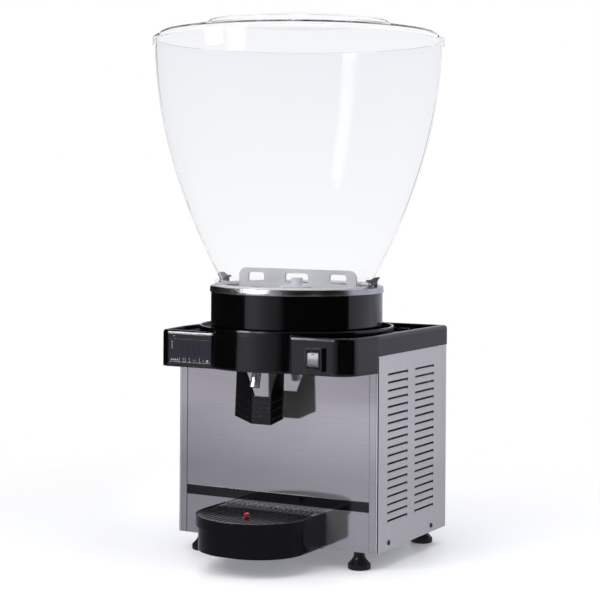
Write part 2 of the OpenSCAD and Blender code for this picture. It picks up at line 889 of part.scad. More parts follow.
module bowl() {
  outer = [for (i = [0 : bowl_steps]) [bowl_r(bowl_share(i)), flange_z1 + bowl_h * bowl_share(i)]];
  inner = [for (i = [bowl_steps : -1 : 0])
    [bowl_r(bowl_share(i)) - bowl_wall, flange_z1 + bowl_h * bowl_share(i)]];
  color([0.85, 0.9, 0.95, 0.35]) rotate_extrude() polygon(concat(
    [[bowl_base_r - bowl_wall, flange_z0], [flange_r, flange_z0], [flange_r, flange_z1 - mould_round],
      [flange_r - mould_round, flange_z1]], outer, inner));
}

module lid() {
  slope_z = bowl_z1 + 11;
  shoulder_r = lid_in_r - 10;
  seat_z = bowl_z1 + lid_seat_gap;
  color([0.85, 0.9, 0.95, 0.35]) rotate_extrude() polygon([
    [lid_in_r, lid_z0], [lid_out_r, lid_z0], [lid_out_r, bowl_z1 + 1], [lid_out_r - 1, bowl_z1 + 3],
    [lid_out_r - 3, bowl_z1 + 4.5], [shoulder_r + 3, bowl_z1 + 6], [shoulder_r + 1, bowl_z1 + 7.5],
    [shoulder_r, slope_z], [shoulder_r - 2, slope_z + 1.2],
    [disc_r + 2, dome_z], [disc_r, dome_z + 1], [disc_r - 1, disc_z1 - 2.5], [disc_r - 3, disc_z1 - 0.7],
    [disc_r - 8, disc_z1], [0, disc_z1 + 0.8],
    [0, disc_z1 + 0.8 - lid_t], [disc_r - 9, disc_z1 - lid_t], [disc_r - 4, disc_z1 - lid_t - 1],
    [disc_r - 3, dome_z + 1 - lid_t], [disc_r - 1, dome_z - lid_t], [shoulder_r - 4, slope_z + 1 - lid_t],
    [shoulder_r - lid_t, slope_z - lid_t], [shoulder_r - lid_t + 0.5, seat_z + 2],
    [shoulder_r + 1, seat_z], [lid_in_r, seat_z]]);
}

// Bowl clamps

module clamp_base() {
  cheek_y = clamp_w / 2 + clamp_gap;
  difference() {
    union() {
      box(clamp_in, clamp_out, -cheek_y - cheek_t, cheek_y + cheek_t, ring_z1, ring_z1 + clamp_foot_t);
      box(clamp_in, clamp_out, cheek_y, cheek_y + cheek_t, ring_z1, ring_z1 + cheek_h);
      box(clamp_in, clamp_out, -cheek_y - cheek_t, -cheek_y, ring_z1, ring_z1 + cheek_h);
    }
    bar_y(-clamp_w, clamp_w, clamp_pin_x, clamp_pin_z, clamp_pin_r);
  }
}

module clamp_bases() {
  color("dimgray") both_sides() clamp_base();
}

module clamp_pins() {
  color("silver") both_sides() translate([clamp_pin_x, -clamp_w / 2 - clamp_gap - cheek_t, clamp_pin_z])
    rotate([-90, 0, 0]) cylinder(r = clamp_pin_r, h = clamp_w + 2 * (clamp_gap + cheek_t));
}

// The lever hooks over the bowl's flange and ends in a raised finger tip
module clamp_lever() {
  hook_z = flange_z1 + clamp_seat_gap;
  boss_r = 3.2;
  tip_x = clamp_out + 6;
  difference() {
    translate([0, clamp_w / 2, 0]) rotate([90, 0, 0]) linear_extrude(clamp_w) union() {
      polygon([[flange_r - 3.6, hook_z], [flange_r + 1.2, hook_z], [clamp_pin_x - boss_r + 0.4, clamp_pin_z],
        [clamp_pin_x + boss_r - 0.6, clamp_pin_z - 1], [clamp_out + 0.4, hook_z - 0.6],
        [tip_x - 2, hook_z + 5], [tip_x, hook_z + 6.6], [tip_x - 0.5, hook_z + 8.2],
        [clamp_out + 2, hook_z + 7], [clamp_pin_x, hook_z + 3.6], [flange_r - 3.6, hook_z + 3.2]]);
      translate([clamp_pin_x, clamp_pin_z]) circle(boss_r, $fn = 32);
    }
    translate([clamp_pin_x, -clamp_w, clamp_pin_z]) rotate([-90, 0, 0])
      cylinder(r = clamp_pin_r + clamp_gap, h = 2 * clamp_w);
  }
}

module clamp_lever_right() {
  color("dimgray") clamp_lever();
}

module clamp_lever_left() {
  color("dimgray") mirror([1, 0, 0]) clamp_lever();
}

// Stirrer

module blade_outline() {
  corner = 14;
  difference() {
    union() {
      translate([-blade_reach, 0]) square([2 * blade_reach, blade_h - corner]);
      translate([-blade_reach + corner, 0]) square([2 * (blade_reach - corner), blade_h]);
      for (sx = [-1, 1]) translate([sx * (blade_reach - corner), blade_h - corner]) circle(corner);
    }
    for (w = [[0, window_mid], [-window_end_at, window_end], [window_end_at, window_end]])
      translate([w[0] - w[1] / 2, window_low]) union() {
        square([w[1], window_h - 5]);
        translate([5, 0]) square([w[1] - 10, window_h]);
        for (x = [5, w[1] - 5]) translate([x, window_h - 5]) circle(5, $fn = 32);
      }
    for (x = [-window_end_at, window_end_at]) translate([x - 9, -1]) square([18, 3]);
  }
}

module stirrer_blade() {
  color("lightgray") translate([0, 0, blade_z0]) rotate([0, 0, blade_turn]) difference() {
    union() {
      translate([0, blade_t / 2, 0]) rotate([90, 0, 0]) linear_extrude(blade_t) blade_outline();
      cylinder(r = hub_r, h = hub_disc_h);
      cylinder(r1 = hub_boss_r, r2 = hub_boss_r - 2, h = hub_top);
    }
    translate([0, 0, -1]) cylinder(r = spindle_r + spin_gap, h = hub_top - 2);
    for (sx = [-1, 1]) translate([sx * magnet_at, 0, -1]) cylinder(r = magnet_r, h = magnet_h + 1);
  }
}

module stirrer_magnets() {
  color("dimgray") translate([0, 0, blade_z0]) rotate([0, 0, blade_turn])
    for (sx = [-1, 1]) translate([sx * magnet_at, 0, 0]) cylinder(r = magnet_r, h = magnet_h);
}

module spindle() {
  color("silver") union() {
    translate([0, 0, plate_z1]) cylinder(r = spindle_r + 4, h = spindle_foot_h);
    translate([0, 0, plate_z1]) cylinder(r = spindle_r, h = spindle_z1 - plate_z1);
  }
}

module drive_rotor() {
  color("gray") difference() {
    union() {
      translate([0, 0, rotor_z0]) cylinder(r = hub_r + 4, h = rotor_h);
      translate([0, 0, rotor_z0 - shaft_len]) cylinder(r = shaft_r, h = shaft_len + 1);
    }
    rotate([0, 0, blade_turn]) for (sx = [-1, 1])
      translate([sx * magnet_at, 0, rotor_z1 - magnet_h]) cylinder(r = magnet_r, h = magnet_h + 1);
  }
}

module drive_magnets() {
  color("dimgray") rotate([0, 0, blade_turn]) for (sx = [-1, 1])
    translate([sx * magnet_at, 0, rotor_z1 - magnet_h]) cylinder(r = magnet_r, h = magnet_h);
}

module stirrer_motor() {
  boss_h = 3;
  color("gray") difference() {
    union() {
      translate([0, 0, motor_z0]) cylinder(r = motor_r, h = motor_h);
      translate([0, 0, motor_z1]) cylinder(r = shaft_r + 4, h = boss_h);
    }
    translate([0, 0, rotor_z0 - shaft_len - 1]) cylinder(r = shaft_r + spin_gap, h = shaft_len + motor_h);
  }
}

module motor_stand() {
  leg_r = 4;
  stand_z1 = motor_z0;
  color("silver") union() {
    box(-stand_half, stand_half, -stand_half, stand_half, stand_z1 - stand_t, stand_z1);
    for (sx = [-1, 1], sy = [-1, 1])
      translate([sx * stand_leg, sy * stand_leg, cab_z1])
        cylinder(r = leg_r, h = stand_z1 - stand_t - cab_z1);
  }
}

// Tap

module outlet_pipe() {
  color("silver") difference() {
    union() {
      translate([0, pipe_y, port_z - pipe_out_r])
        cylinder(r = pipe_out_r, h = plate_z1 - port_z + pipe_out_r);
      translate([0, pipe_y, port_z]) rotate([90, 0, 0])
        cylinder(r = port_r + pipe_wall, h = pipe_y + valve_y - valve_bore_r - 2);
    }
    translate([0, pipe_y, port_z]) cylinder(r = outlet_r, h = plate_z1 - port_z + 1);
    translate([0, pipe_y, port_z]) sphere(r = outlet_r);
    translate([0, pipe_y, port_z]) rotate([90, 0, 0]) cylinder(r = port_r, h = 2 * valve_r);
  }
}

module at_yoke_sides() {
  for (sx = [-1, 1]) translate([sx * (yoke_x + yoke_t / 2), -valve_y, 0]) children();
}

module valve_body() {
  yoke_h = spring_z1 - valve_z1;
  pin_travel = 6;
  color("dimgray") difference() {
    union() {
      translate([0, -valve_y, valve_z0]) cylinder(r = valve_r, h = valve_h);
      at_yoke_sides() translate([0, 0, valve_z1 + yoke_h / 2 - 2])
        cube([yoke_t, yoke_y, yoke_h + 4], center = true);
      translate([0, -valve_y, spring_z1 + yoke_top / 2])
        cube([2 * (yoke_x + yoke_t), yoke_y, yoke_top], center = true);
    }
    translate([0, -valve_y, valve_z0 + valve_floor]) cylinder(r = valve_bore_r, h = valve_h);
    translate([0, -valve_y + valve_bore_r - 3, port_z]) rotate([-90, 0, 0])
      cylinder(r = port_r + pipe_wall, h = valve_r);
    spout_axis() translate([0, 0, -1]) cylinder(r = spigot_r, h = spigot_l + 4);
    at_yoke_sides() translate([0, 0, pivot_z + pin_travel / 2])
      cube([yoke_t + 2, 2 * slot_half, pin_travel + 2 * slot_half], center = true);
  }
}

module valve_piston() {
  groove = 1.6;
  color("whitesmoke") difference() {
    union() {
      translate([0, -valve_y, piston_z0]) cylinder(r = piston_r, h = valve_z1 - piston_z0 - 1);
      translate([0, -valve_y, piston_z0]) cylinder(r = stem_r, h = stem_z1 - piston_z0);
    }
    translate([0, -valve_y, 0]) at_seals() rotate_extrude() translate([piston_r, 0]) circle(groove, $fn = 24);
    bar_x(-stem_r - 1, stem_r + 1, -valve_y, pivot_z, piston_pin_r);
  }
}

module at_seals() {
  for (z = [port_z + port_r + 3.5, valve_z1 - 5]) translate([0, 0, z]) children();
}

module piston_seals() {
  seal_r = 1.6;
  color("black") intersection() {
    translate([0, -valve_y, 0]) at_seals() rotate_extrude() translate([piston_r, 0]) circle(seal_r, $fn = 24);
    translate([0, -valve_y, valve_z0]) cylinder(r = valve_bore_r - 0.02, h = valve_h);
  }
}

module piston_pin() {
  color("silver") bar_x(-fork_x1, fork_x1, -valve_y, pivot_z, piston_pin_r);
}

// Points of ring i of the spring's wire
spring_sides = 6;
spring_rings = spring_turns * 16;
spring_rise = spring_z1 - stem_z1 - 2 * spring_wire;
function spring_point(i, j) =
  let (a = i * 360 * spring_turns / spring_rings, b = j * 360 / spring_sides,
       r = spring_r + spring_wire * cos(b))
  [r * cos(a), r * sin(a) - valve_y,
    stem_z1 + spring_wire + spring_rise * i / spring_rings + spring_wire * sin(b)];

module valve_spring() {
  last = spring_rings * spring_sides;
  points = [for (i = [0 : spring_rings], j = [0 : spring_sides - 1]) spring_point(i, j)];
  sides = [for (i = [0 : spring_rings - 1], j = [0 : spring_sides - 1])
    let (k = (j + 1) % spring_sides, p = i * spring_sides, q = p + spring_sides)
    each [[p + j, q + k, p + k], [p + j, q + j, q + k]]];
  caps = [for (j = [1 : spring_sides - 2]) each [[0, j, j + 1], [last, last + j + 1, last + j]]];
  color("silver") polyhedron(points, concat(sides, caps));
}

// The spout's own frame: origin in the middle of its free end, +Z up its bore
module spout_axis() {
  translate([0, spout_y0, spout_z0]) rotate([-spout_tilt, 0, 0]) children();
}

module spout() {
  free_len = (valve_z0 - spout_z0) / cos(spout_tilt) - spout_r * tan(spout_tilt) - 0.2;
  color("silver") spout_axis() difference() {
    union() {
      cylinder(r = spout_r, h = free_len);
      cylinder(r = spigot_r, h = spigot_l - spigot_r * tan(spout_tilt) - 0.3);
    }
    translate([0, 0, -1]) cylinder(r = spigot_r - 1.2, h = spigot_l + 2);
  }
}

module tap_bracket() {
  web_y = front_y - bracket_t;
  cheek_y0 = pivot_y - 7;
  slot_x0 = window_head - 9;
  slot_y0 = -valve_y - 12;
  slot_y1 = -valve_y + 36;
  color("gray") difference() {
    union() {
      box(-cheek_x - bracket_t, cheek_x + bracket_t, web_y, front_y, bracket_z0, cab_z1 - 4);
      both_sides() box(cheek_x, cheek_x + bracket_t, cheek_y0, web_y + 1, bracket_z0, bracket_z1);
      box(-cheek_x - bracket_t, cheek_x + bracket_t, cheek_y0, web_y + 1, bracket_z0, bracket_z0 + bracket_t);
    }
    translate([0, -valve_y, bracket_z0 - 1]) cylinder(r = valve_r, h = bracket_t + 2);
    both_sides() box(slot_x0, cheek_x, slot_y0, slot_y1, bracket_z0 - 1, bracket_z0 + bracket_t + 1);
    bar_x(-pivot_half - 1, pivot_half + 1, pivot_y, pivot_z, pivot_r);
  }
}

module lever_front() {
  polygon([[-lever_flat, lever_z0], [lever_flat, lever_z0], [lever_half, lever_z0 + corner_rise],
    [lever_half - 1, lever_top], [window_head, lever_top], [window_foot, window_z0],
    [-window_foot, window_z0], [-window_head, lever_top], [-lever_half + 1, lever_top],
    [-lever_half, lever_z0 + corner_rise]]);
}

module lever_band() {
  fold = lever_flat - 0.7;
  edge = lever_half + 1;
  polygon([[-fold, 0], [-edge, -lever_dish], [-edge, lever_t - lever_dish], [-fold, lever_t],
    [fold, lever_t], [edge, lever_t - lever_dish], [edge, -lever_dish], [fold, 0]]);
}

// One arm of the lever: from the cradle up to the pivot, with the fork behind it
module lever_arm_side() {
  boss_r = 6;
  difference() {
    translate([fork_x0, 0, 0]) rotate([90, 0, 90]) linear_extrude(fork_x1 - fork_x0) union() {
      polygon([[lever_edge_y - 1.5, lever_top - 8], [lever_edge_y + 6.5, lever_top - 8],
        [lever_edge_y + 6.5, lever_top], [pivot_y + 16, pivot_z - 6.5], [-valve_y + 8, pivot_z - 6.5],
        [-valve_y + 8, pivot_z + 5.2], [pivot_y, pivot_z + 5.2], [pivot_y - 4.8, pivot_z],
        [lever_edge_y - 1.5, lever_top]]);
      translate([pivot_y, pivot_z]) circle(boss_r);
    }
    translate([0, pivot_y, pivot_z]) rotate([0, 90, 0]) cylinder(r = pivot_r + 0.06, h = 2 * fork_x1);
    box(0, 2 * fork_x1, -valve_y - 5, -valve_y + 9, pivot_z - slot_half, pivot_z + slot_half);
  }
}

module tap_lever() {
  color([0.05, 0.05, 0.06]) union() {
    intersection() {
      translate([0, lever_y, lever_top]) rotate([-lever_lean, 0, 0]) translate([0, 0, -2 * lever_drop])
        linear_extrude(2 * lever_drop + 2) lever_band();
      rotate([90, 0, 0]) linear_extrude(3 * valve_y) lever_front();
    }
    both_sides() lever_arm_side();
  }
}

module lever_pin() {
  color("silver") bar_x(-pivot_half, pivot_half, pivot_y, pivot_z, pivot_r);
}

// Controls

module controller_case() {
  color([0.1, 0.1, 0.11]) difference() {
    union() {
      translate([panel_x, pod_front, panel_z]) face_plate(panel_w, panel_h, panel_t, 3);
      translate([panel_x, pod_front + case_l / 2 - 0.5, panel_z])
        cube([case_w, case_l + 1, case_h], center = true);
    }
    translate([panel_x, pod_front - panel_t + glass_t, glass_z]) face_plate(glass_w, glass_h, glass_t + 1, 2);
  }
}

module controller_window() {
  color([0.16, 0.15, 0.2]) translate([panel_x, pod_front - panel_t + glass_t, glass_z])
    face_plate(glass_w, glass_h, glass_t, 2);
}

module switch_frame() {
  bore_x = switch_body_w / 2 + 1;
  room_x = switch_body_w / 2 - rocker_wall;
  room_z = (switch_body_h - 1) / 2;
  color([0.08, 0.08, 0.09]) difference() {
    union() {
      translate([switch_x, pod_front, switch_z]) face_plate(switch_w, switch_h, switch_out, 2);
      translate([switch_x, pod_front + switch_body_l / 2 - 0.5, switch_z])
        cube([switch_body_w, switch_body_l + 1, switch_body_h], center = true);
    }
    box(switch_x - room_x, switch_x + room_x, pod_front - 2 * switch_out, rocker_axis_y + rocker_room,
      switch_z - room_z, switch_z + room_z);
    bar_x(switch_x - bore_x, switch_x + bore_x, rocker_axis_y, switch_z, rocker_stub_r + rocker_fit);
  }
}

// The rocker turns about a line along X behind its face
module switch_rocker() {
  stub_x = rocker_w / 2 + rocker_stub;
  rocker_r = 15;
  color("gainsboro") union() {
    intersection() {
      bar_x(switch_x - rocker_w / 2, switch_x + rocker_w / 2, rocker_axis_y, switch_z, rocker_r);
      translate([switch_x, rocker_axis_y - 5, switch_z]) cube([rocker_w, 15, rocker_h - 2], center = true);
    }
    bar_x(switch_x - stub_x, switch_x + stub_x, rocker_axis_y, switch_z, rocker_stub_r);
  }
}

module switch_cap() {
  cap_t = 4.5;
  color([0.9, 0.9, 0.95, 0.4]) difference() {
    translate([switch_x, pod_front - switch_out, switch_z])
      face_plate(switch_body_w + 2, switch_body_h + 2, cap_t, 3);
    translate([switch_x, pod_front - switch_out + 1, switch_z])
      face_plate(switch_body_w, switch_body_h, cap_t, 2);
  }
}

// Drip tray

// Points on an arc about c, from angle a0 to a1
function arc_points(c, r, a0, a1, steps) =
  [for (i = [0 : steps]) let (a = a0 + (a1 - a0) * i / steps) [c[0] + r * cos(a), c[1] + r * sin(a)]];

// Outline with straight sides, a flat front and round front corners, set in by k
module tray_plan(k) {
  half = tray_half - k;
  corner = tray_corner - k;
  cx = tray_half - tray_corner;
  cy = tray_front + tray_corner;
  polygon(concat(arc_points([-cx, cy], corner, 180, 270, 28), arc_points([cx, cy], corner, 270, 360, 28),
    [[half, tray_back - k], [-half, tray_back - k]]));
}

module tray_bracket() {
  plate_half = tray_half - 5;
  foot_half = 62;
  foot_y0 = tray_front + 46;
  shelf_half = tray_half - 10;
  shelf_y0 = skirt_y0 + 28;
  foot_z0 = tray_z0 - bracket_foot_t;
  color("dimgray") union() {
    box(-plate_half, plate_half, tray_back, front_y, foot_z0, tray_z1 - 1.5);
    box(-foot_half, foot_half, foot_y0, front_y, foot_z0, tray_z0);
    box(-shelf_half, shelf_half, shelf_y0, front_y, foot_z0, tray_z0);
  }
}

module drip_tray() {
  color([0.06, 0.06, 0.07]) difference() {
    union() {
      translate([0, 0, tray_z0]) linear_extrude(tray_h - tray_band + 1) tray_plan(tray_inset);
      translate([0, 0, tray_step_z]) linear_extrude(tray_band) tray_plan(0);
      both_sides() box(skirt_x0, tray_half, skirt_y0, tray_back, tray_z0 + skirt_up, tray_step_z + 1);
    }
    translate([0, 0, tray_z0 + tray_wall]) linear_extrude(tray_h) tray_plan(ledge_w);
    translate([0, 0, grille_z0]) linear_extrude(tray_h) tray_plan(tray_wall);
  }
}

// Front end of a grille slot at x, on the tray's outline set in by k
function slot_front(x, k) =
  let (corner = tray_corner - k, cx = tray_half - tray_corner, cy = tray_front + tray_corner)
  abs(x) < cx ? tray_front + k : cy - sqrt(corner * corner - pow(abs(x) - cx, 2));

module grille_slot_at(x, k) {
  front = slot_front(x, k) + grille_slot / 2;
  back = tray_back - k - grille_slot / 2;
  cut_h = grille_t + 2;
  translate([x, 0, grille_z0 - 1]) {
    translate([-grille_slot / 2, front, 0]) cube([grille_slot, back - front, cut_h]);
    translate([0, front, 0]) cylinder(r = grille_slot / 2, h = cut_h, $fn = 32);
    translate([0, back, 0]) cylinder(r = grille_slot / 2, h = cut_h, $fn = 32);
  }
}

module at_float(z) {
  translate([float_x, front_y - float_y, z]) children();
}

module drip_grille() {
  inset = tray_wall + grille_gap;
  count = floor((tray_half - inset - slot_margin - grille_slot / 2) / grille_pitch);
  color([0.08, 0.08, 0.09]) difference() {
    translate([0, 0, grille_z0]) linear_extrude(grille_t) tray_plan(inset);
    difference() {
      for (i = [-count : count]) grille_slot_at(i * grille_pitch, inset + slot_margin);
      at_float(grille_z0 - 2) cylinder(r = float_r + float_rim, h = grille_t + 4);
    }
    at_float(grille_z0 - 1) cylinder(r = float_r + float_gap, h = grille_t + 2);
  }
}

module level_float() {
  foot_z = tray_z0 + tray_wall + 0.2;
  top_z = tray_z1 + float_up - 1;
  color("crimson") union() {
    at_float(foot_z) cylinder(r = float_foot_r, h = float_foot_h);
    at_float(foot_z) cylinder(r = float_r, h = top_z - foot_z);
    at_float(top_z - eps) cylinder(r1 = float_r, r2 = float_r - 1, h = 1);
  }
}

// Cooling unit

module at_comp_mounts() {
  for (sx = [-1, 1], sy = [-1, 1])
    translate([comp_x + sx * (comp_r + 2), comp_y + sy * (comp_r - 12), pan_floor]) children();
}

module compressor() {
  side_h = comp_h * 0.62;
  color([0.1, 0.1, 0.11]) union() {
    translate([comp_x, comp_y, comp_z0]) rotate_extrude() polygon([[0, 0], [comp_r * 0.8, 0],
      [comp_r * 0.95, 8], [comp_r, 22], [comp_r, side_h], [comp_r * 0.96, side_h + 14],
      [comp_r * 0.82, side_h + 32],
      [comp_r * 0.5, comp_h - 5], [0, comp_h]]);
    box(comp_x - comp_r - 12, comp_x + comp_r + 12, comp_y - comp_r - 2, comp_y + comp_r + 2,
        comp_z0 - comp_plate_t, comp_z0);
    box(comp_x + comp_r * 0.7, comp_x + comp_r + 22, comp_y - 20, comp_y + 20, comp_z0 + 40, comp_z0 + 82);
  }
}

module compressor_mounts() {
  color("black") at_comp_mounts() cylinder(r = 8, h = mount_h);
}

module condenser() {
  plate = 2;
  tube_r = 4;
  rows = 7;
  groove_w = (cond_l - 2 * plate) / fin_gaps * 0.6;
  groove_step = (cond_l - 2 * plate) / fin_gaps;
  color("silver") union() {
    difference() {
      box(cond_x0, cond_x1, cond_y0, cond_y0 + cond_l, cond_z0, cond_z0 + cond_h);
      for (i = [0 : fin_gaps - 1])
        translate([cond_x1 + 1, cond_y0 + plate + (i + 0.5) * groove_step, cond_z0 + cond_h / 2])
          cube([cond_t, groove_w, cond_h - 8], center = true);
    }
    for (row = [0 : rows - 1])
      translate([cond_x1 - cond_t / 3, cond_y0 - 5, cond_z0 + cond_h * (row + 0.5) / rows])
        rotate([-90, 0, 0]) cylinder(r = tube_r, h = cond_l + 10, $fn = 32);
    box(cond_x0, cond_x1, cond_y0, cond_y0 + plate, pan_floor, cond_z0 + 1);
    box(cond_x0, cond_x1, cond_y0 + cond_l - plate, cond_y0 + cond_l, pan_floor, cond_z0 + 1);
  }
}

module at_fan() {
  translate([0, fan_y, fan_z]) rotate([0, 90, 0]) children();
}

module fan_shroud() {
  post_at = fan_r + shroud_gap + 4;
  strut_x0 = fan_motor_x1 - 12;
  color("gray") union() {
    difference() {
      box(shroud_x0, cond_x0, cond_y0, cond_y0 + cond_l, cond_z0, cond_z0 + cond_h);
      at_fan() translate([0, 0, shroud_x0 - 1]) cylinder(r = fan_r + shroud_gap, h = shroud_t + 2);
    }
    for (a = [45 : 90 : 315]) at_fan() rotate([0, 0, a]) {
      box(fan_motor_r - 1, post_at + strut_half, -strut_half, strut_half, strut_x0, strut_x0 + 4);
      box(post_at - strut_half, post_at + strut_half, -strut_half, strut_half, strut_x0, shroud_x0 + 1);
    }
  }
}

fan_motor_r = 28;

module fan_motor() {
  color("dimgray") at_fan() difference() {
    translate([0, 0, fan_motor_x1 - fan_motor_l]) cylinder(r = fan_motor_r, h = fan_motor_l);
    translate([0, 0, fan_motor_x1 - fan_motor_l + 8]) cylinder(r = fan_shaft_r + spin_gap, h = fan_motor_l);
  }
}

module fan_blades() {
  pitch_deg = 32;
  color([0.12, 0.12, 0.13]) at_fan() union() {
    translate([0, 0, blades_x0]) cylinder(r = fan_hub_r, h = blade_len_x);
    translate([0, 0, fan_motor_x1 - fan_motor_l + 12]) cylinder(r = fan_shaft_r, h = fan_motor_l);
    intersection() {
      for (i = [0 : fan_count - 1]) rotate([0, 0, i * 360 / fan_count])
        translate([fan_hub_r + (fan_r - fan_hub_r) / 2 - 2, 0, blades_x0 + blade_len_x / 2])
          rotate([pitch_deg, 0, 0]) cube([fan_r - fan_hub_r + 8, 34, 1.6], center = true);
      translate([0, 0, blades_x0]) cylinder(r = fan_r, h = blade_len_x);
    }
  }
}

module refrigerant_pipes() {
  low_z = comp_z0 + comp_h * 0.5;
  color("peru") union() {
    translate([0, coil_tail_r, low_z]) cylinder(r = line_r, h = coil_z - coil_r * 0.9 - low_z);
    translate([0, coil_tail_r, low_z]) sphere(r = line_r);
    bar_x(comp_x + comp_r * 0.9, 0, coil_tail_r, low_z, line_r);
    translate([comp_x + comp_r * 0.9, coil_tail_r, low_z]) sphere(r = line_r);
    bar_y(comp_y + 6, coil_tail_r, comp_x + comp_r * 0.9, low_z, line_r);
  }
}

module cord_inlet() {
  flange_t = 3;
  reach = 18;
  inner_l = sheet_t + 4;
  color("black") translate([cord_x, rear_y, cord_z]) rotate([-90, 0, 0]) difference() {
    union() {
      cylinder(r = cord_r + 7, h = flange_t);
      translate([0, 0, -inner_l]) cylinder(r = cord_r + 4, h = inner_l + 1);
      cylinder(r1 = cord_r + 5, r2 = cord_r + 3, h = reach - inner_l);
    }
    translate([0, 0, -inner_l - 1]) cylinder(r = cord_r, h = reach + 2);
  }
}

base_pan();
front_panel();
corner_posts();
side_panel_left();
side_panel_right();
rear_panel();
top_deck();
panel_screws();
foot_front_left();
foot_front_right();
foot_rear_left();
foot_rear_right();
label_band();
top_cover();
collar();
steel_ring();
cold_plate();
evaporator_coil();
foam_ring();
bowl_gasket();
bowl();
lid();
clamp_bases();
clamp_pins();
clamp_lever_left();
clamp_lever_right();
stirrer_blade();
stirrer_magnets();
spindle();
drive_rotor();
drive_magnets();
stirrer_motor();
motor_stand();
outlet_pipe();
tap_bracket();
valve_body();
valve_piston();
piston_seals();
piston_pin();
valve_spring();
spout();
tap_lever();
lever_pin();
controller_case();
controller_window();
switch_frame();
switch_rocker();
switch_cap();
tray_bracket();
drip_tray();
drip_grille();
level_float();
compressor();
compressor_mounts();
condenser();
fan_shroud();
fan_motor();
fan_blades();
refrigerant_pipes();
cord_inlet();
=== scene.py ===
"""Looks of the cold drink dispenser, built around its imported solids.

Metres, origin on the floor under the bowl's axis, +X to the object's right seen
from the front, +Y to the back, +Z up.
"""

from __future__ import annotations

import json
import logging
import math
from dataclasses import dataclass, field
from enum import Enum
from typing import Sequence

import bmesh
import bpy
from mathutils import Matrix, Vector

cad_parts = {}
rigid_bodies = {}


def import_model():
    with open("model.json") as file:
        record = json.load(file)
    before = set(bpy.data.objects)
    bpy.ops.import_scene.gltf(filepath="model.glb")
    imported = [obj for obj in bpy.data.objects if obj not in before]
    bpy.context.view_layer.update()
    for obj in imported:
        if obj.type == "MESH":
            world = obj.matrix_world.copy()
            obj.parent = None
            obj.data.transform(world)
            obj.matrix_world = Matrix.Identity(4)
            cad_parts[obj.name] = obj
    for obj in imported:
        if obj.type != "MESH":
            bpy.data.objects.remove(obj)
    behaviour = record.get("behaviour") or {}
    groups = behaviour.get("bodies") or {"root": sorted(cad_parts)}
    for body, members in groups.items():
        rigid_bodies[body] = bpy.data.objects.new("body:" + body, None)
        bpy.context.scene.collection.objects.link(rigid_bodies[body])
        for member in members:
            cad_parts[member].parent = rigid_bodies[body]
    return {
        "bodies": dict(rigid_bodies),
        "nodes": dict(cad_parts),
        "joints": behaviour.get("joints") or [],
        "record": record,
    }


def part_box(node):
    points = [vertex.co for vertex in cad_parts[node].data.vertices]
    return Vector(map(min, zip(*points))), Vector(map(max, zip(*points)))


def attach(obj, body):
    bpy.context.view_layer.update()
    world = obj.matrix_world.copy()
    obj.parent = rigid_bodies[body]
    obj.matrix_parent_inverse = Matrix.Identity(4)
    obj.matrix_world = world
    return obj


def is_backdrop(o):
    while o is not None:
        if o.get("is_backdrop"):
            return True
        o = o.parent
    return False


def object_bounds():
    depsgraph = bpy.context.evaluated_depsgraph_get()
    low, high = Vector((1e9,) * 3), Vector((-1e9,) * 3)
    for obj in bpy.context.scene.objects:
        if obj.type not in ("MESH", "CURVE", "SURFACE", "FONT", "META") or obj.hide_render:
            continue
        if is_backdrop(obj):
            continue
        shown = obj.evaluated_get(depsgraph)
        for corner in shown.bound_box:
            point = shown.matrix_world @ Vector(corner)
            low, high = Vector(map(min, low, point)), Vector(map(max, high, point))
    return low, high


LOG = logging.getLogger("dispenser")
MM = 0.001

NOISE_SPAN = (0.3, 0.7)
SHARP_ANGLE = 35.0
SUBJECT = (0.0, -0.05, 0.4)
WHITE = (1.0, 1.0, 1.0)
DEEP_BLACK = (0.0009, 0.0009, 0.0012)

Colour = tuple[float, float, float]
Point = tuple[float, float, float]
Pair = tuple[float, float]
Socket = bpy.types.NodeSocket
Material = bpy.types.Material


class Slot(Enum):
    """Material slots of the record."""

    STEEL = "steel"
    BRIGHT_STEEL = "bright_steel"
    GALVANISED = "galvanised"
    BLACK_GLOSS = "black_gloss"
    BLACK_MATT = "black_matt"
    DARK_GREY = "dark_grey"
    PALE_GREY = "pale_grey"
    CLEAR = "clear"
    SMOKED = "smoked_window"
    RUBBER = "rubber"
    WHITE_RUBBER = "white_rubber"
    RED = "red"
    FOAM = "foam"
    COPPER = "copper"
    ALUMINIUM = "aluminium"
    ENAMEL = "black_enamel"


class Body(Enum):
    """Moving bodies that dressed pieces ride on."""

    CABINET = "cabinet"
    LEVER = "lever"
    TRAY = "tray"
    ROCKER = "rocker"


# Finishes


def add_object(name: str, data: bpy.types.ID) -> bpy.types.Object:
    """Put a new object in the scene.

    Args:
        name: Its name.
        data: Its mesh, light or camera.

    Returns:
        The object.
    """
    made = bpy.data.objects.new(name, data)
    bpy.context.scene.collection.objects.link(made)
    return made


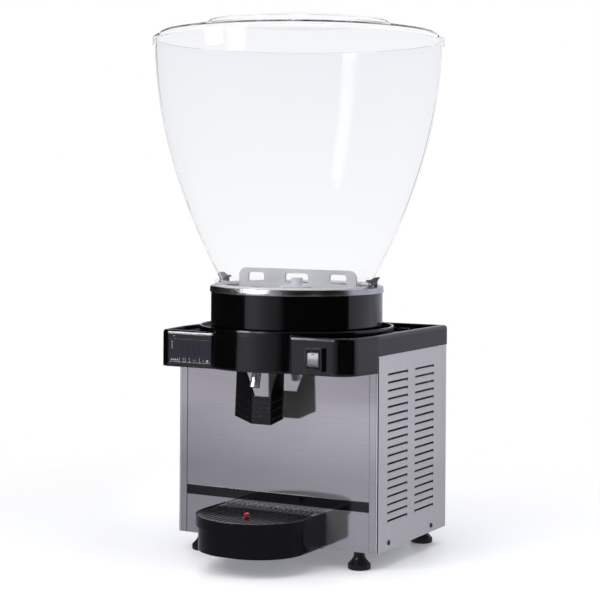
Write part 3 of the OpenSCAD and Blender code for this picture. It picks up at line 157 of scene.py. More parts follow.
class Shader:
    """A small wrapper round a material's node tree."""

    def __init__(self, name: str) -> None:
        """Start a material with a principled shader and its output.

        Args:
            name: Name of the material.
        """
        self.material = bpy.data.materials.new(name)
        self.material.use_nodes = True
        self.tree = self.material.node_tree
        self.tree.nodes.clear()
        self.output = self.node("ShaderNodeOutputMaterial")
        self.surface = self.node("ShaderNodeBsdfPrincipled")
        self.link(self.surface.outputs["BSDF"], self.output.inputs["Surface"])

    def node(self, kind: str, **values: object) -> bpy.types.Node:
        """Add a node.

        Args:
            kind: The node's type name.
            **values: Attributes to set on it.

        Returns:
            The new node.
        """
        made = self.tree.nodes.new(kind)
        for key, value in values.items():
            setattr(made, key, value)
        return made

    def link(self, out: Socket, into: Socket) -> None:
        """Join two sockets.

        Args:
            out: The socket that gives.
            into: The socket that takes.
        """
        self.tree.links.new(out, into)

    def feed(self, out: Socket, name: str) -> None:
        """Join a socket to an input of the principled shader.

        Args:
            out: The socket that gives.
            name: Name of the input.
        """
        self.link(out, self.surface.inputs[name])

    def axis(self, place: Socket, letter: str) -> Socket:
        """One axis of a place.

        Args:
            place: The coordinates.
            letter: The axis.

        Returns:
            The value socket.
        """
        split = self.node("ShaderNodeSeparateXYZ")
        self.link(place, split.inputs["Vector"])
        return split.outputs[letter]

    def place(self, scale: Point = (1.0, 1.0, 1.0)) -> Socket:
        """Object coordinates, stretched.

        Args:
            scale: Stretch along each axis.

        Returns:
            The coordinate socket.
        """
        coords = self.node("ShaderNodeTexCoord")
        mapping = self.node("ShaderNodeMapping")
        mapping.inputs["Scale"].default_value = scale
        self.link(coords.outputs["Object"], mapping.inputs["Vector"])
        return mapping.outputs["Vector"]

    def noise(self, place: Socket, scale: float, detail: float = 3.0) -> Socket:
        """A noise texture's value.

        Args:
            place: The coordinates it is read at.
            scale: Its scale, per metre.
            detail: Its number of octaves.

        Returns:
            The value socket.
        """
        made = self.node("ShaderNodeTexNoise")
        made.inputs["Scale"].default_value = scale
        made.inputs["Detail"].default_value = detail
        self.link(place, made.inputs["Vector"])
        return made.outputs["Fac"]

    def spread(self, value: Socket, low: float, high: float, within: Pair = NOISE_SPAN) -> Socket:
        """Spread a value over a range.

        Args:
            value: The value, such as a noise value.
            low: Result at its lowest.
            high: Result at its highest.
            within: The value's lowest and highest, for noise if left out.

        Returns:
            The value socket.
        """
        made = self.node("ShaderNodeMapRange")
        made.inputs["From Min"].default_value = within[0]
        made.inputs["From Max"].default_value = within[1]
        made.inputs["To Min"].default_value = low
        made.inputs["To Max"].default_value = high
        self.link(value, made.inputs["Value"])
        return made.outputs["Result"]

    def ramp(self, value: Socket, stops: Sequence[tuple[float, Colour]]) -> Socket:
        """Colours along a value.

        Args:
            value: The value that picks a colour.
            stops: Positions and colours.

        Returns:
            The colour socket.
        """
        made = self.node("ShaderNodeValToRGB")
        elements = made.color_ramp.elements
        while len(elements) < len(stops):
            elements.new(0.5)
        for element, (position, colour) in zip(elements, stops):
            element.position = position
            element.color = (*colour, 1.0)
        self.link(value, made.inputs["Fac"])
        return made.outputs["Color"]

    def mottle(
        self,
        value: Socket,
        colour: Colour,
        tones: Pair,
        within: Pair = NOISE_SPAN,
    ) -> Socket:
        """Give the surface a colour that varies a little with a value.

        Args:
            value: The value.
            colour: The colour.
            tones: What the colour is multiplied by at the lowest and the highest.
            within: The value's lowest and highest.

        Returns:
            The colour socket.
        """
        stops = [(at, tint(colour, tone)) for at, tone in zip(within, tones)]
        mottled = self.ramp(value, stops)
        self.feed(mottled, "Base Color")
        return mottled

    def wear(self, value: Socket, roughness: float, shares: Pair) -> None:
        """Give the surface a roughness that varies a little with a value.

        Args:
            value: The value.
            roughness: The roughness.
            shares: What it is multiplied by at the lowest and the highest.
        """
        low, high = shares
        self.feed(self.spread(value, roughness * low, roughness * high), "Roughness")

    def bump(self, height: Socket, strength: float, distance: float, edge: float = 0.0) -> None:
        """Give the surface a bump, over softened edges.

        Args:
            height: The height value.
            strength: Share of the bump that shows.
            distance: Its height in metres.
            edge: Radius of the softened edges in metres, or 0 for none.
        """
        made = self.node("ShaderNodeBump")
        made.inputs["Strength"].default_value = strength
        made.inputs["Distance"].default_value = distance
        self.link(height, made.inputs["Height"])
        if edge > 0:
            bevel = self.node("ShaderNodeBevel", samples=6)
            bevel.inputs["Radius"].default_value = edge
            self.link(bevel.outputs["Normal"], made.inputs["Normal"])
        self.link(made.outputs["Normal"], self.surface.inputs["Normal"])

    def glow(self, colour: Socket | Colour, strength: float) -> Socket:
        """A surface that gives light.

        Args:
            colour: Its colour, or the socket that gives it.
            strength: Its strength.

        Returns:
            The shader socket.
        """
        made = self.node("ShaderNodeEmission")
        made.inputs["Strength"].default_value = strength
        if isinstance(colour, Socket):
            self.link(colour, made.inputs["Color"])
        else:
            made.inputs["Color"].default_value = (*colour, 1.0)
        return made.outputs["Emission"]

    def blend(self, share: Socket | float, first: Socket, second: Socket) -> Socket:
        """Two surfaces mixed.

        Args:
            share: Share of the second surface, or the socket that gives it.
            first: The first surface.
            second: The second surface.

        Returns:
            The shader socket.
        """
        made = self.node("ShaderNodeMixShader")
        if isinstance(share, Socket):
            self.link(share, made.inputs["Fac"])
        else:
            made.inputs["Fac"].default_value = share
        self.link(first, made.inputs[1])
        self.link(second, made.inputs[2])
        return made.outputs["Shader"]

    def math(self, operation: str, first: Socket, second: Socket | float) -> Socket:
        """A sum on two values.

        Args:
            operation: The operation's name.
            first: The first value.
            second: The second value, or the socket that gives it.

        Returns:
            The value socket.
        """
        made = self.node("ShaderNodeMath", operation=operation)
        self.link(first, made.inputs[0])
        if isinstance(second, Socket):
            self.link(second, made.inputs[1])
        else:
            made.inputs[1].default_value = second
        return made.outputs["Value"]

    def set(self, **values: object) -> None:
        """Set inputs of the principled shader.

        Args:
            **values: Input names with underscores for spaces, and their values.
        """
        for key, value in values.items():
            self.surface.inputs[key.replace("_", " ")].default_value = value


def tint(colour: Colour, by: float) -> Colour:
    """A colour made lighter or darker.

    Args:
        colour: The colour.
        by: What it is multiplied by.

    Returns:
        The new colour.
    """
    return tuple(min(1.0, c * by) for c in colour)


class Finish:
    """Anything that can make a material."""

    def build(self, name: str) -> Material:
        """Make the material.

        Args:
            name: Name of the material.

        Returns:
            The finished material.
        """
        shader = Shader(name)
        self.fill(shader)
        return shader.material

    def fill(self, shader: Shader) -> None:
        """Give the shader this finish.

        Args:
            shader: The material's shader.
        """
        raise NotImplementedError


@dataclass(frozen=True)
class BrushedSteel(Finish):
    """Stainless sheet with fine lines along one direction."""

    colour: Colour = (0.42, 0.412, 0.42)
    roughness: float = 0.075
    lines: Point = (1.0, 1.0, 90.0)
    depth: float = 0.00001
    edge: float = 0.0006
    metallic: float = 0.86
    grain_scale: float = 14.0
    cloud_scale: float = 7.0
    tones: Pair = (0.94, 1.05)
    wear_and_painted_highlight: Pair = (0.88, 1.15)
    relief: float = 0.25

    def fill(self, shader: Shader) -> None:
        """Give the shader this finish.

        Args:
            shader: The material's shader.
        """
        grain = shader.noise(shader.place(self.lines), self.grain_scale, detail=5.0)
        cloud = shader.noise(shader.place(), self.cloud_scale)
        shader.mottle(grain, self.colour, self.tones)
        shader.wear(cloud, self.roughness, self.wear_and_painted_highlight)
        shader.set(Metallic=self.metallic, Specular_IOR_Level=0.0)
        shader.bump(grain, self.relief, self.depth, self.edge)


@dataclass(frozen=True)
class MouldedPlastic(Finish):
    """Opaque moulded plastic, from high gloss to fine matt."""

    colour: Colour
    roughness: float = 0.12
    specular: float = 0.5
    grain_scale: float = 900.0
    grain: float = 0.00001
    edge: float = 0.0008
    cloud_scale: float = 9.0
    tones: Pair = (0.88, 1.12)
    wear_and_painted_highlight: Pair = (0.8, 1.25)
    relief: float = 0.5

    def fill(self, shader: Shader) -> None:
        """Give the shader this finish.

        Args:
            shader: The material's shader.
        """
        place = shader.place()
        grain = shader.noise(place, self.grain_scale, detail=2.0)
        cloud = shader.noise(place, self.cloud_scale, detail=4.0)
        shader.mottle(cloud, self.colour, self.tones)
        shader.wear(cloud, self.roughness, self.wear_and_painted_highlight)
        shader.set(Specular_IOR_Level=self.specular)
        shader.bump(grain, self.relief, self.grain, self.edge)


@dataclass(frozen=True)
class PaintedLightPlastic(Finish):
    """Satin plastic with painted light: lighter towards its upper edge, in painted shade towards
    its lower one.
    """

    stops: Sequence[tuple[float, Colour]]
    span: Pair
    roughness: float = 0.35
    specular: float = 0.3
    grain_scale: float = 900.0
    grain: float = 0.00001
    edge: float = 0.0008
    wear_and_painted_highlight: Pair = (0.85, 1.2)
    relief: float = 0.4

    def fill(self, shader: Shader) -> None:
        """Give the shader this finish.

        Args:
            shader: The material's shader.
        """
        place = shader.place()
        grain = shader.noise(place, self.grain_scale, detail=2.0)
        # Painted light and shade: the colour ramp follows height.
        height = shader.spread(shader.axis(place, "Z"), 0.0, 1.0, self.span)
        shader.feed(shader.ramp(height, self.stops), "Base Color")
        shader.wear(grain, self.roughness, self.wear_and_painted_highlight)
        shader.set(Specular_IOR_Level=self.specular)
        shader.bump(grain, self.relief, self.grain, self.edge)


@dataclass(frozen=True)
class ClearPlastic(Finish):
    """Clear moulded plastic, with painted shade that makes it a little darker towards its top.

    Shadow and diffuse rays pass straight through it. It hardly bends light, as a thin
    even wall does, and its skin gives the reflections.
    """

    low: Colour = (0.98, 0.983, 0.99)
    high: Colour = (0.93, 0.935, 0.957)
    span: Pair = (0.5, 0.88)
    roughness: float = 0.0
    ior: float = 1.004
    skin: float = 0.22
    skin_ior: float = 1.4
    shade: float = 0.95
    smear_lines: Point = (6.0, 6.0, 1.0)
    smear_scale: float = 5.0
    smear: float = 0.012

    def fill(self, shader: Shader) -> None:
        """Give the shader this finish.

        Args:
            shader: The material's shader.
        """
        # Painted shade: the base colour darkens with height, from low to high.
        height = shader.spread(shader.axis(shader.place(), "Z"), 0.0, 1.0, self.span)
        shader.feed(shader.ramp(height, [(0.0, self.low), (1.0, self.high)]), "Base Color")
        smear = shader.noise(shader.place(self.smear_lines), self.smear_scale)
        shader.feed(
            shader.spread(smear, self.roughness, self.roughness + self.smear),
            "Coat Roughness",
        )
        shader.set(Transmission_Weight=1.0, IOR=self.ior, Roughness=self.roughness)
        shader.set(Coat_Weight=self.skin, Coat_IOR=self.skin_ior)
        path = shader.node("ShaderNodeLightPath").outputs
        through = shader.node("ShaderNodeBsdfTransparent")
        through.inputs["Color"].default_value = (self.shade, self.shade, self.shade, 1)
        either = shader.math("MAXIMUM", path["Is Shadow Ray"], path["Is Diffuse Ray"])
        mixed = shader.blend(either, shader.surface.outputs["BSDF"], through.outputs["BSDF"])
        shader.link(mixed, shader.output.inputs["Surface"])


@dataclass(frozen=True)
class BareMetal(Finish):
    """Drawn, cast or plated metal with soft wear."""

    colour: Colour
    roughness: float = 0.25
    spots: float = 60.0
    depth: float = 0.00002
    edge: float = 0.0004
    metallic: float = 1.0
    within: Pair = (0.25, 0.75)
    tones: Pair = (0.82, 1.1)
    wear_and_painted_highlight: Pair = (0.75, 1.3)
    relief: float = 0.3

    def fill(self, shader: Shader) -> None:
        """Give the shader this finish.

        Args:
            shader: The material's shader.
        """
        cloud = shader.noise(shader.place(), self.spots, detail=4.0)
        shader.mottle(cloud, self.colour, self.tones, self.within)
        shader.wear(cloud, self.roughness, self.wear_and_painted_highlight)
        shader.set(Metallic=self.metallic)
        shader.bump(cloud, self.relief, self.depth, self.edge)


@dataclass(frozen=True)
class SoftRubber(Finish):
    """Rubber or silicone, with a little light passing into it."""

    colour: Colour
    roughness: float = 0.55
    inner: float = 0.0
    inner_reach: float = 0.002
    grain_scale: float = 700.0
    grain: float = 0.00004
    tones: Pair = (0.85, 1.1)
    wear_and_painted_highlight: Pair = (0.9, 1.1)
    relief: float = 0.5

    def fill(self, shader: Shader) -> None:
        """Give the shader this finish.

        Args:
            shader: The material's shader.
        """
        grain = shader.noise(shader.place(), self.grain_scale)
        shader.mottle(grain, self.colour, self.tones)
        shader.wear(grain, self.roughness, self.wear_and_painted_highlight)
        shader.set(Subsurface_Weight=self.inner, Subsurface_Scale=self.inner_reach)
        shader.bump(grain, self.relief, self.grain)


@dataclass(frozen=True)
class CellFoam(Finish):
    """Rigid insulating foam with an open skin."""

    colour: Colour = (0.62, 0.5, 0.28)
    roughness: float = 0.9
    cell_scale: float = 420.0
    within: Pair = (0.1, 0.8)
    tones: Pair = (0.7, 1.1)
    relief: float = 0.6
    depth: float = 0.0004

    def fill(self, shader: Shader) -> None:
        """Give the shader this finish.

        Args:
            shader: The material's shader.
        """
        cells = shader.node("ShaderNodeTexVoronoi")
        cells.inputs["Scale"].default_value = self.cell_scale
        shader.link(shader.place(), cells.inputs["Vector"])
        walls = cells.outputs["Distance"]
        shader.mottle(walls, self.colour, self.tones, self.within)
        shader.set(Roughness=self.roughness)
        shader.bump(walls, self.relief, self.depth)


@dataclass(frozen=True)
class PrintedMark(Finish):
    """Thin printed or lit marks behind a display window; on printed marks the glow is painted
    light.
    """

    colour: Colour
    glow: float = 0.0
    roughness: float = 0.4
    grain_scale: float = 1500.0
    tones: Pair = (0.8, 1.1)

    def fill(self, shader: Shader) -> None:
        """Give the shader this finish.

        Args:
            shader: The material's shader.
        """
        grain = shader.noise(shader.place(), self.grain_scale, detail=2.0)
        shader.feed(shader.mottle(grain, self.colour, self.tones), "Emission Color")
        shader.set(Roughness=self.roughness, Specular_IOR_Level=0.0)
        shader.set(Emission_Strength=self.glow)


FINISHES: dict[Slot, Finish] = {
    Slot.STEEL: BrushedSteel(),
    Slot.BRIGHT_STEEL: BareMetal((0.62, 0.62, 0.63), 0.16, 30.0, 0.00001, 0.0008),
    Slot.GALVANISED: BareMetal((0.42, 0.44, 0.45), 0.42, 45.0),
    Slot.BLACK_GLOSS: MouldedPlastic(DEEP_BLACK, 0.09, 0.5, edge=0.0014),
    Slot.BLACK_MATT: MouldedPlastic((0.003, 0.003, 0.0035), 0.34, 0.4, grain=0.00004),
    Slot.DARK_GREY: MouldedPlastic((0.045, 0.046, 0.05), 0.35, 0.4, grain=0.00003),
    Slot.PALE_GREY: MouldedPlastic((0.44, 0.44, 0.47), 0.4, 0.4, grain=0.00003),
    Slot.CLEAR: ClearPlastic(),
    Slot.SMOKED: MouldedPlastic((0.006, 0.005, 0.011), 0.09, 0.4, edge=0.0005),
    Slot.RUBBER: SoftRubber((0.012, 0.012, 0.012)),
    Slot.WHITE_RUBBER: SoftRubber((0.62, 0.62, 0.64), 0.4, 0.3),
    Slot.RED: MouldedPlastic((0.3, 0.01, 0.03), 0.25, 0.5, edge=0.002),
    Slot.FOAM: CellFoam(),
    Slot.COPPER: BareMetal((0.72, 0.33, 0.19), 0.3, 80.0),
    Slot.ALUMINIUM: BareMetal((0.6, 0.6, 0.61), 0.35, 50.0),
    Slot.ENAMEL: MouldedPlastic((0.008, 0.008, 0.008), 0.3, 0.5, grain=0.00004),
}

SIDE_STEEL = BrushedSteel((0.56, 0.56, 0.57), 0.16, (1.0, 90.0, 1.0), metallic=0.7)
# The rocker's face with painted light: painted shade low down, lighter towards the top where
# light falls.
ROCKER_PAINTED_LIGHT = PaintedLightPlastic(
    (
        (0.0, (0.13, 0.13, 0.15)),
        (0.4, (0.15, 0.15, 0.17)),
        (0.52, (0.2, 0.2, 0.23)),
        (0.68, (0.42, 0.41, 0.46)),
        (1.0, (0.46, 0.45, 0.5)),
    ),
    (0.338, 0.361),
)
TRAY_BLACK = MouldedPlastic((0.0012, 0.0012, 0.0015), 0.14, 0.14, edge=0.002)
GRILLE_BLACK = MouldedPlastic((0.0009, 0.0009, 0.001), 0.09, 0.45, edge=0.001)
LEVER_BLACK = MouldedPlastic((0.0009, 0.0009, 0.0011), 0.1, 0.3, edge=0.0014)

# Nodes whose finish differs from the rest of their slot
SPECIAL: dict[str, tuple[str, Finish]] = {
    "side_panel_left": ("side_steel", SIDE_STEEL),
    "side_panel_right": ("side_steel", SIDE_STEEL),
    "rear_panel": ("side_steel", SIDE_STEEL),
    "top_cover": ("cover_black", MouldedPlastic(DEEP_BLACK, 0.09, 0.5, edge=0.005)),
    "tap_lever": ("lever_black", LEVER_BLACK),
    "switch_rocker": ("rocker_painted_light", ROCKER_PAINTED_LIGHT),
    "steel_ring": ("ring_steel", BareMetal((0.5, 0.5, 0.51), 0.22, 30.0, 0.00001, 0.0006)),
    "lid": ("lid_clear", ClearPlastic((0.995, 0.996, 0.998), (0.992, 0.993, 0.996))),
    "spout": ("satin_steel", BareMetal((0.66, 0.66, 0.67), 0.42, 80.0, edge=0.0006)),
    "drip_grille": ("grille_black", GRILLE_BLACK),
    "drip_tray": ("tray_black", TRAY_BLACK),
}


@dataclass
class Paintbox:
    """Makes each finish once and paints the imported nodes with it."""

    made: dict[str, Material] = field(default_factory=dict)

    def slot(self, slot: Slot) -> Material:
        """The material of a slot.

        Args:
            slot: The record's slot.

        Returns:
            Its material.
        """
        return self.custom(slot.value, FINISHES[slot])

    def custom(self, name: str, finish: Finish) -> Material:
        """A material by name, made on first use.

        Args:
            name: Name of the material.
            finish: What makes it.

        Returns:
            The material.
        """
        if name not in self.made:
            self.made[name] = finish.build(name)
        return self.made[name]

    def paint_nodes(self, frame: dict, special: dict[str, Material]) -> None:
        """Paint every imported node.

        Args:
            special: Nodes with a material of their own.
        """
        slots = {s["node"]: s["material_slot"] for s in frame["record"]["subparts"]}
        for name, node in frame["nodes"].items():
            material = special.get(name) or self.slot(Slot(slots[name]))
            node.data.materials.clear()
            node.data.materials.append(material)


# Building meshes


class Sketch:
    """A mesh built up from simple forms, in millimetres."""

    def __init__(self, name: str) -> None:
        """Start an empty sketch.

        Args:
            name: Name of the piece.
        """
        self.name = name
        self.bm = bmesh.new()

    def plate(self, outline: Sequence[Pair], y: float, depth: float) -> None:
        """A plate in the XZ plane, its face towards -Y.

        Args:
            outline: Its corners, x and z.
            y: The place of its back.
            depth: Its thickness.
        """
        back = [self.bm.verts.new((x, y, z)) for x, z in outline]
        front = [self.bm.verts.new((x, y - depth, z)) for x, z in outline]
        self._close(back, front)

    def prism(self, outline: Sequence[Sequence[float]], push: Vector) -> None:
        """A closed prism on any flat outline.

        Args:
            outline: Its corners.
            push: From the outline to the far face.
        """
        near = [self.bm.verts.new(p) for p in outline]
        far = [self.bm.verts.new(Vector(p) + push) for p in outline]
        self._close(near, far)

    def _close(self, near: list, far: list) -> None:
        """Skin two matching rings.

        Args:
            near: The first ring.
            far: The second ring.
        """
        count = len(near)
        self.bm.faces.new(near)
        self.bm.faces.new(far[::-1])
        for i in range(count):
            j = (i + 1) % count
            self.bm.faces.new((near[j], near[i], far[i], far[j]))

    def _skin(self, rings: list[list]) -> None:
        """Skin a row of rings and close both its ends.

        Args:
            rings: The rings, in order.
        """
        count = len(rings[0])
        for low, high in zip(rings, rings[1:]):
            for i in range(count):
                j = (i + 1) % count
                self.bm.faces.new((low[i], low[j], high[j], high[i]))
        self.bm.faces.new(rings[0][::-1])
        self.bm.faces.new(rings[-1])

    def lathe(self, profile: Sequence[Pair], matrix: Matrix, segments: int = 32) -> None:
        """A turned form about the matrix's Z axis, closed at both ends.

        Args:
            profile: Radius and height of each point, from the bottom up.
            matrix: Its place.
            segments: Steps round it.
        """
        rings = []
        for radius, height in profile:
            ring = []
            for i in range(segments):
                angle = 2 * math.pi * i / segments
                point = Vector((radius * math.cos(angle), radius * math.sin(angle), height))
                ring.append(self.bm.verts.new(matrix @ point))
            rings.append(ring)
        self._skin(rings)

    def tube(self, path: Sequence[Sequence[float]], radius: float, sides: int = 10) -> None:
        """A round bar along a path.

        Args:
            path: Points along its middle.
            radius: Its radius.
            sides: Steps round it.
        """
        points = [Vector(p) for p in path]
        rings = []
        for i, point in enumerate(points):
            ahead = points[min(i + 1, len(points) - 1)] - points[max(i - 1, 0)]
            ahead.normalize()
            across = ahead.orthogonal().normalized()
            other = ahead.cross(across)
            ring = []
            for k in range(sides):
                angle = 2 * math.pi * k / sides
                offset = across * math.cos(angle) + other * math.sin(angle)
                ring.append(self.bm.verts.new(point + offset * radius))
            rings.append(ring)
        self._skin(rings)

    def finish(self, material: Material, body: Body, slot: Slot, smooth: bool = True) -> None:
        """Turn the sketch into a piece that rides on a body.

        Args:
            material: Its finish.
            body: The body it moves with.
            slot: The record's slot it belongs to; not used.
            smooth: Whether its round faces are shaded smooth.
        """
        bmesh.ops.recalc_face_normals(self.bm, faces=self.bm.faces)
        mesh = bpy.data.meshes.new(self.name)
        self.bm.to_mesh(mesh)
        self.bm.free()
        mesh.transform(Matrix.Scale(MM, 4))
        mesh.materials.append(material)
        piece = add_object(self.name, mesh)
        if smooth:
            for polygon in mesh.polygons:
                polygon.use_smooth = True
            mesh.set_sharp_from_angle(angle=math.radians(SHARP_ANGLE))
        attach(piece, body.value)
        LOG.info("%s: %d faces on %s", self.name, len(mesh.polygons), body.value)


# Turns a lathed form's axis from +Z to -Y
TURN_FORWARD = Matrix.Rotation(math.radians(90), 4, "X")


def rectangle(x0: float, z0: float, x1: float, z1: float) -> list[Pair]:
    """Corners of a rectangle in the XZ plane.

    Args:
        x0: Its left side.
        z0: Its lower side.
        x1: Its right side.
        z1: Its upper side.

    Returns:
        The corners.
    """
    return [(x0, z0), (x1, z0), (x1, z1), (x0, z1)]


def ring_points(cx: float, cz: float, radius: float, steps: int = 20) -> list[Pair]:
    """Points round a circle in the XZ plane.

    Args:
        cx: Middle, across.
        cz: Middle, up.
        radius: Its radius.
        steps: Number of points.

    Returns:
        The points.
    """
    return [
        (
            cx + radius * math.cos(2 * math.pi * i / steps),
            cz + radius * math.sin(2 * math.pi * i / steps),
        )
        for i in range(steps)
    ]


# Sub-assemblies of the dressed model


@dataclass
class ControllerFace:
    """Digits and key symbols behind the controller's window."""

    paint: Paintbox
    front: float
    digit_w: float = 9.6
    digit_h: float = 17.0
    digits_x: Sequence[float] = (-129.2, -116.2, -103.2)
    digits_z: float = 355.0
    keys_z: float = 336.0
    depth: float = 0.12
    bar_half: float = 0.75
    bar_gap: float = 0.35
    dot: Pair = (1.7, 0.8)
    line_x: Sequence[float] = (-137.6, -118.0, -98.0)
    line_half: Pair = (0.3, 4.4)
    round_x: float = -127.9
    round_r: Pair = (2.9, 0.35)
    arrows: Sequence[tuple[int, float]] = ((-1, -107.6), (1, -89.6))
    arrow_half: float = 2.8
    arrow_z: Pair = (1.3, 1.6)
    arrow_r: float = 0.4
    square: tuple[float, float, float] = (-84.6, -80.8, 1.9)
    block_x: float = -154.6
    block_step: float = 3.9
    block: Pair = (2.7, 1.3)
    blocks: int = 4
    lamps_x: Pair = (-152.9, -151.7)
    lamp_z: float = 354.6
    lamp_step: float = 2.7
    lamp_h: float = 1.65
    lamp_count: int = 5
    round_lamp: Point = (-148.5, 375.5, 0.9)

    def segment(self, sketch: Sketch, x0: float, z0: float, x1: float, z1: float) -> None:
        """One bar of a digit, with pointed ends.

        Args:
            sketch: Where it goes.
            x0: Its start, across.
            z0: Its start, up.
            x1: Its end, across.
            z1: Its end, up.
        """
        along = Vector((x1 - x0, z1 - z0)).normalized()
        side = Vector((-along.y, along.x)) * self.bar_half
        start = Vector((x0, z0)) + along * self.bar_gap
        end = Vector((x1, z1)) - along * self.bar_gap
        tip = along * self.bar_half
        near, far = start + tip, end - tip
        outline = [start, near + side, far + side, end, far - side, near - side]
        sketch.plate([(p.x, p.y) for p in outline], self.front, self.depth)

    def digits(self) -> None:
        """Three unlit seven-bar digits."""
        sketch = Sketch("display_digits")
        for x in self.digits_x:
            left, right = x - self.digit_w / 2, x + self.digit_w / 2
            low, high = self.digits_z - self.digit_h / 2, self.digits_z + self.digit_h / 2
            middle = self.digits_z
            for bar in (
                (left, high, right, high),
                (left, middle, right, middle),
                (left, low, right, low),
                (left, middle, left, high),
                (left, low, left, middle),
                (right, middle, right, high),
                (right, low, right, middle),
            ):
                self.segment(sketch, *bar)
            out, radius = self.dot
            sketch.plate(ring_points(right + out, low, radius), self.front, self.depth)
        look = self.paint.custom("display_ghost", PrintedMark((0.024, 0.02, 0.032)))
        sketch.finish(look, Body.CABINET, Slot.SMOKED)

    def keys(self) -> None:
        """The row of touch-key symbols."""
        sketch = Sketch("display_keys")
        z, y = self.keys_z, self.front
        half_w, half_h = self.line_half
        for x in self.line_x:
            line = rectangle(x - half_w, z - half_h, x + half_w, z + half_h)
            sketch.plate(line, y, self.depth)
        radius, bar = self.round_r
        circle = [(p[0], y, p[1]) for p in ring_points(self.round_x, z, radius, 24)]
        sketch.tube(circle + circle[:1], bar, 6)
        wide, (foot, peak) = self.arrow_half, self.arrow_z
        for flip, x in self.arrows:
            ends = z - flip * foot
            arrow = [(x - wide, y, ends), (x, y, z + flip * peak), (x + wide, y, ends)]
            sketch.tube(arrow, self.arrow_r, 6)
        x0, x1, half = self.square
        sketch.plate(rectangle(x0, z - half, x1, z + half), y, self.depth)
        width, half = self.block
        for i in range(self.blocks):
            x = self.block_x + i * self.block_step
            sketch.plate(rectangle(x, z - half, x + width, z + half), y, self.depth)
        # The weak glow on the printed key symbols is painted light.
        look = self.paint.custom("display_print", PrintedMark((0.3, 0.3, 0.34), 0.05))
        sketch.finish(look, Body.CABINET, Slot.SMOKED, smooth=False)

    def lamps(self) -> None:
        """The column of lamps at the left and the round one above the digits."""
        sketch = Sketch("display_lamps")
        x0, x1 = self.lamps_x
        for i in range(self.lamp_count):
            z = self.lamp_z + i * self.lamp_step
            sketch.plate(rectangle(x0, z, x1, z + self.lamp_h), self.front, self.depth)
        sketch.plate(ring_points(*self.round_lamp), self.front, self.depth)
        look = self.paint.custom("display_lamp", PrintedMark((0.42, 0.42, 0.45), 0.08))
        sketch.finish(look, Body.CABINET, Slot.SMOKED)

    def build(self) -> None:
        """Build the whole face."""
        self.digits()
        self.keys()
        self.lamps()


@dataclass
class LeverRelief:
    """Grip grooves and raised dots on the tap lever's front."""

    paint: Paintbox
    lever: tuple[Vector, Vector]
    fold: float = 18.0
    dish: float = 9.8
    lean: float = 2.5
    top_z: float = 332.0
    face_y: float = -115.6
    ribs: int = 3
    rib_z: float = 244.1
    rib_step: float = 13.3
    rib_drop: float = 8.5
    rib_span: Pair = (43.0, 23.5)
    rib_r: float = 0.8
    rib_parts: int = 6
    rib_end: Sequence[Pair] = ((1.5, -0.3), (1.5, 0.3), (1.0, 0.8), (0.3, 0.95))
    dot_grid: tuple[int, int] = (4, 5)
    dot_start: Pair = (-14.0, 245.0)
    dot_step: Pair = (7.0, 7.6)
    dot_shift: float = 1.5
    dot: Sequence[Pair] = ((1.7, -0.4), (1.6, 0.2), (1.2, 0.55), (0.4, 0.75))

    @property
    def half(self) -> float:
        """Half the lever's width in millimetres, to a tenth."""
        return round(self.lever[1].x / MM, 1)

    def on_face(self, x: float, z: float) -> Point:
        """A point on the lever's front.

        Args:
            x: Its place across.
            z: Its height.

        Returns:
            The point, in millimetres.
        """
        side = max(0.0, abs(x) - self.fold) / (self.half + 1 - self.fold) * self.dish
        back = math.tan(math.radians(self.lean)) * (self.top_z - z)
        return (x, self.face_y - side - back, z)

    def grooves(self) -> None:
        """Slanting grip ribs on the side facets, each with a round end."""
        sketch = Sketch("lever_ribs")
        outer, inner = self.rib_span
        for sign in (-1, 1):
            for i in range(self.ribs):
                z = self.rib_z + self.rib_drop + i * self.rib_step
                path = []
                for part in range(self.rib_parts + 1):
                    x = outer + (inner - outer) * part / self.rib_parts
                    drop = self.rib_drop * part / self.rib_parts
                    path.append(self.on_face(sign * x, z - drop))
                sketch.tube(path, self.rib_r, 8)
                sketch.lathe(self.rib_end, Matrix.Translation(path[-1]) @ TURN_FORWARD, 16)
        sketch.finish(self.paint.slot(Slot.BLACK_GLOSS), Body.LEVER, Slot.BLACK_GLOSS)

    def dots(self) -> None:
        """Raised grip dots round the middle of the lever."""
        sketch = Sketch("lever_dots")
        rows, columns = self.dot_grid
        for row in range(rows):
            for column in range(columns):
                x = self.dot_start[0] + column * self.dot_step[0] + (row % 2) * self.dot_shift
                z = self.dot_start[1] + row * self.dot_step[1]
                place = Matrix.Translation(self.on_face(x, z)) @ TURN_FORWARD
                sketch.lathe(self.dot, place, 16)
        sketch.finish(self.paint.slot(Slot.BLACK_GLOSS), Body.LEVER, Slot.BLACK_GLOSS)

    def build(self) -> None:
        """Build all relief."""
        self.grooves()
        self.dots()


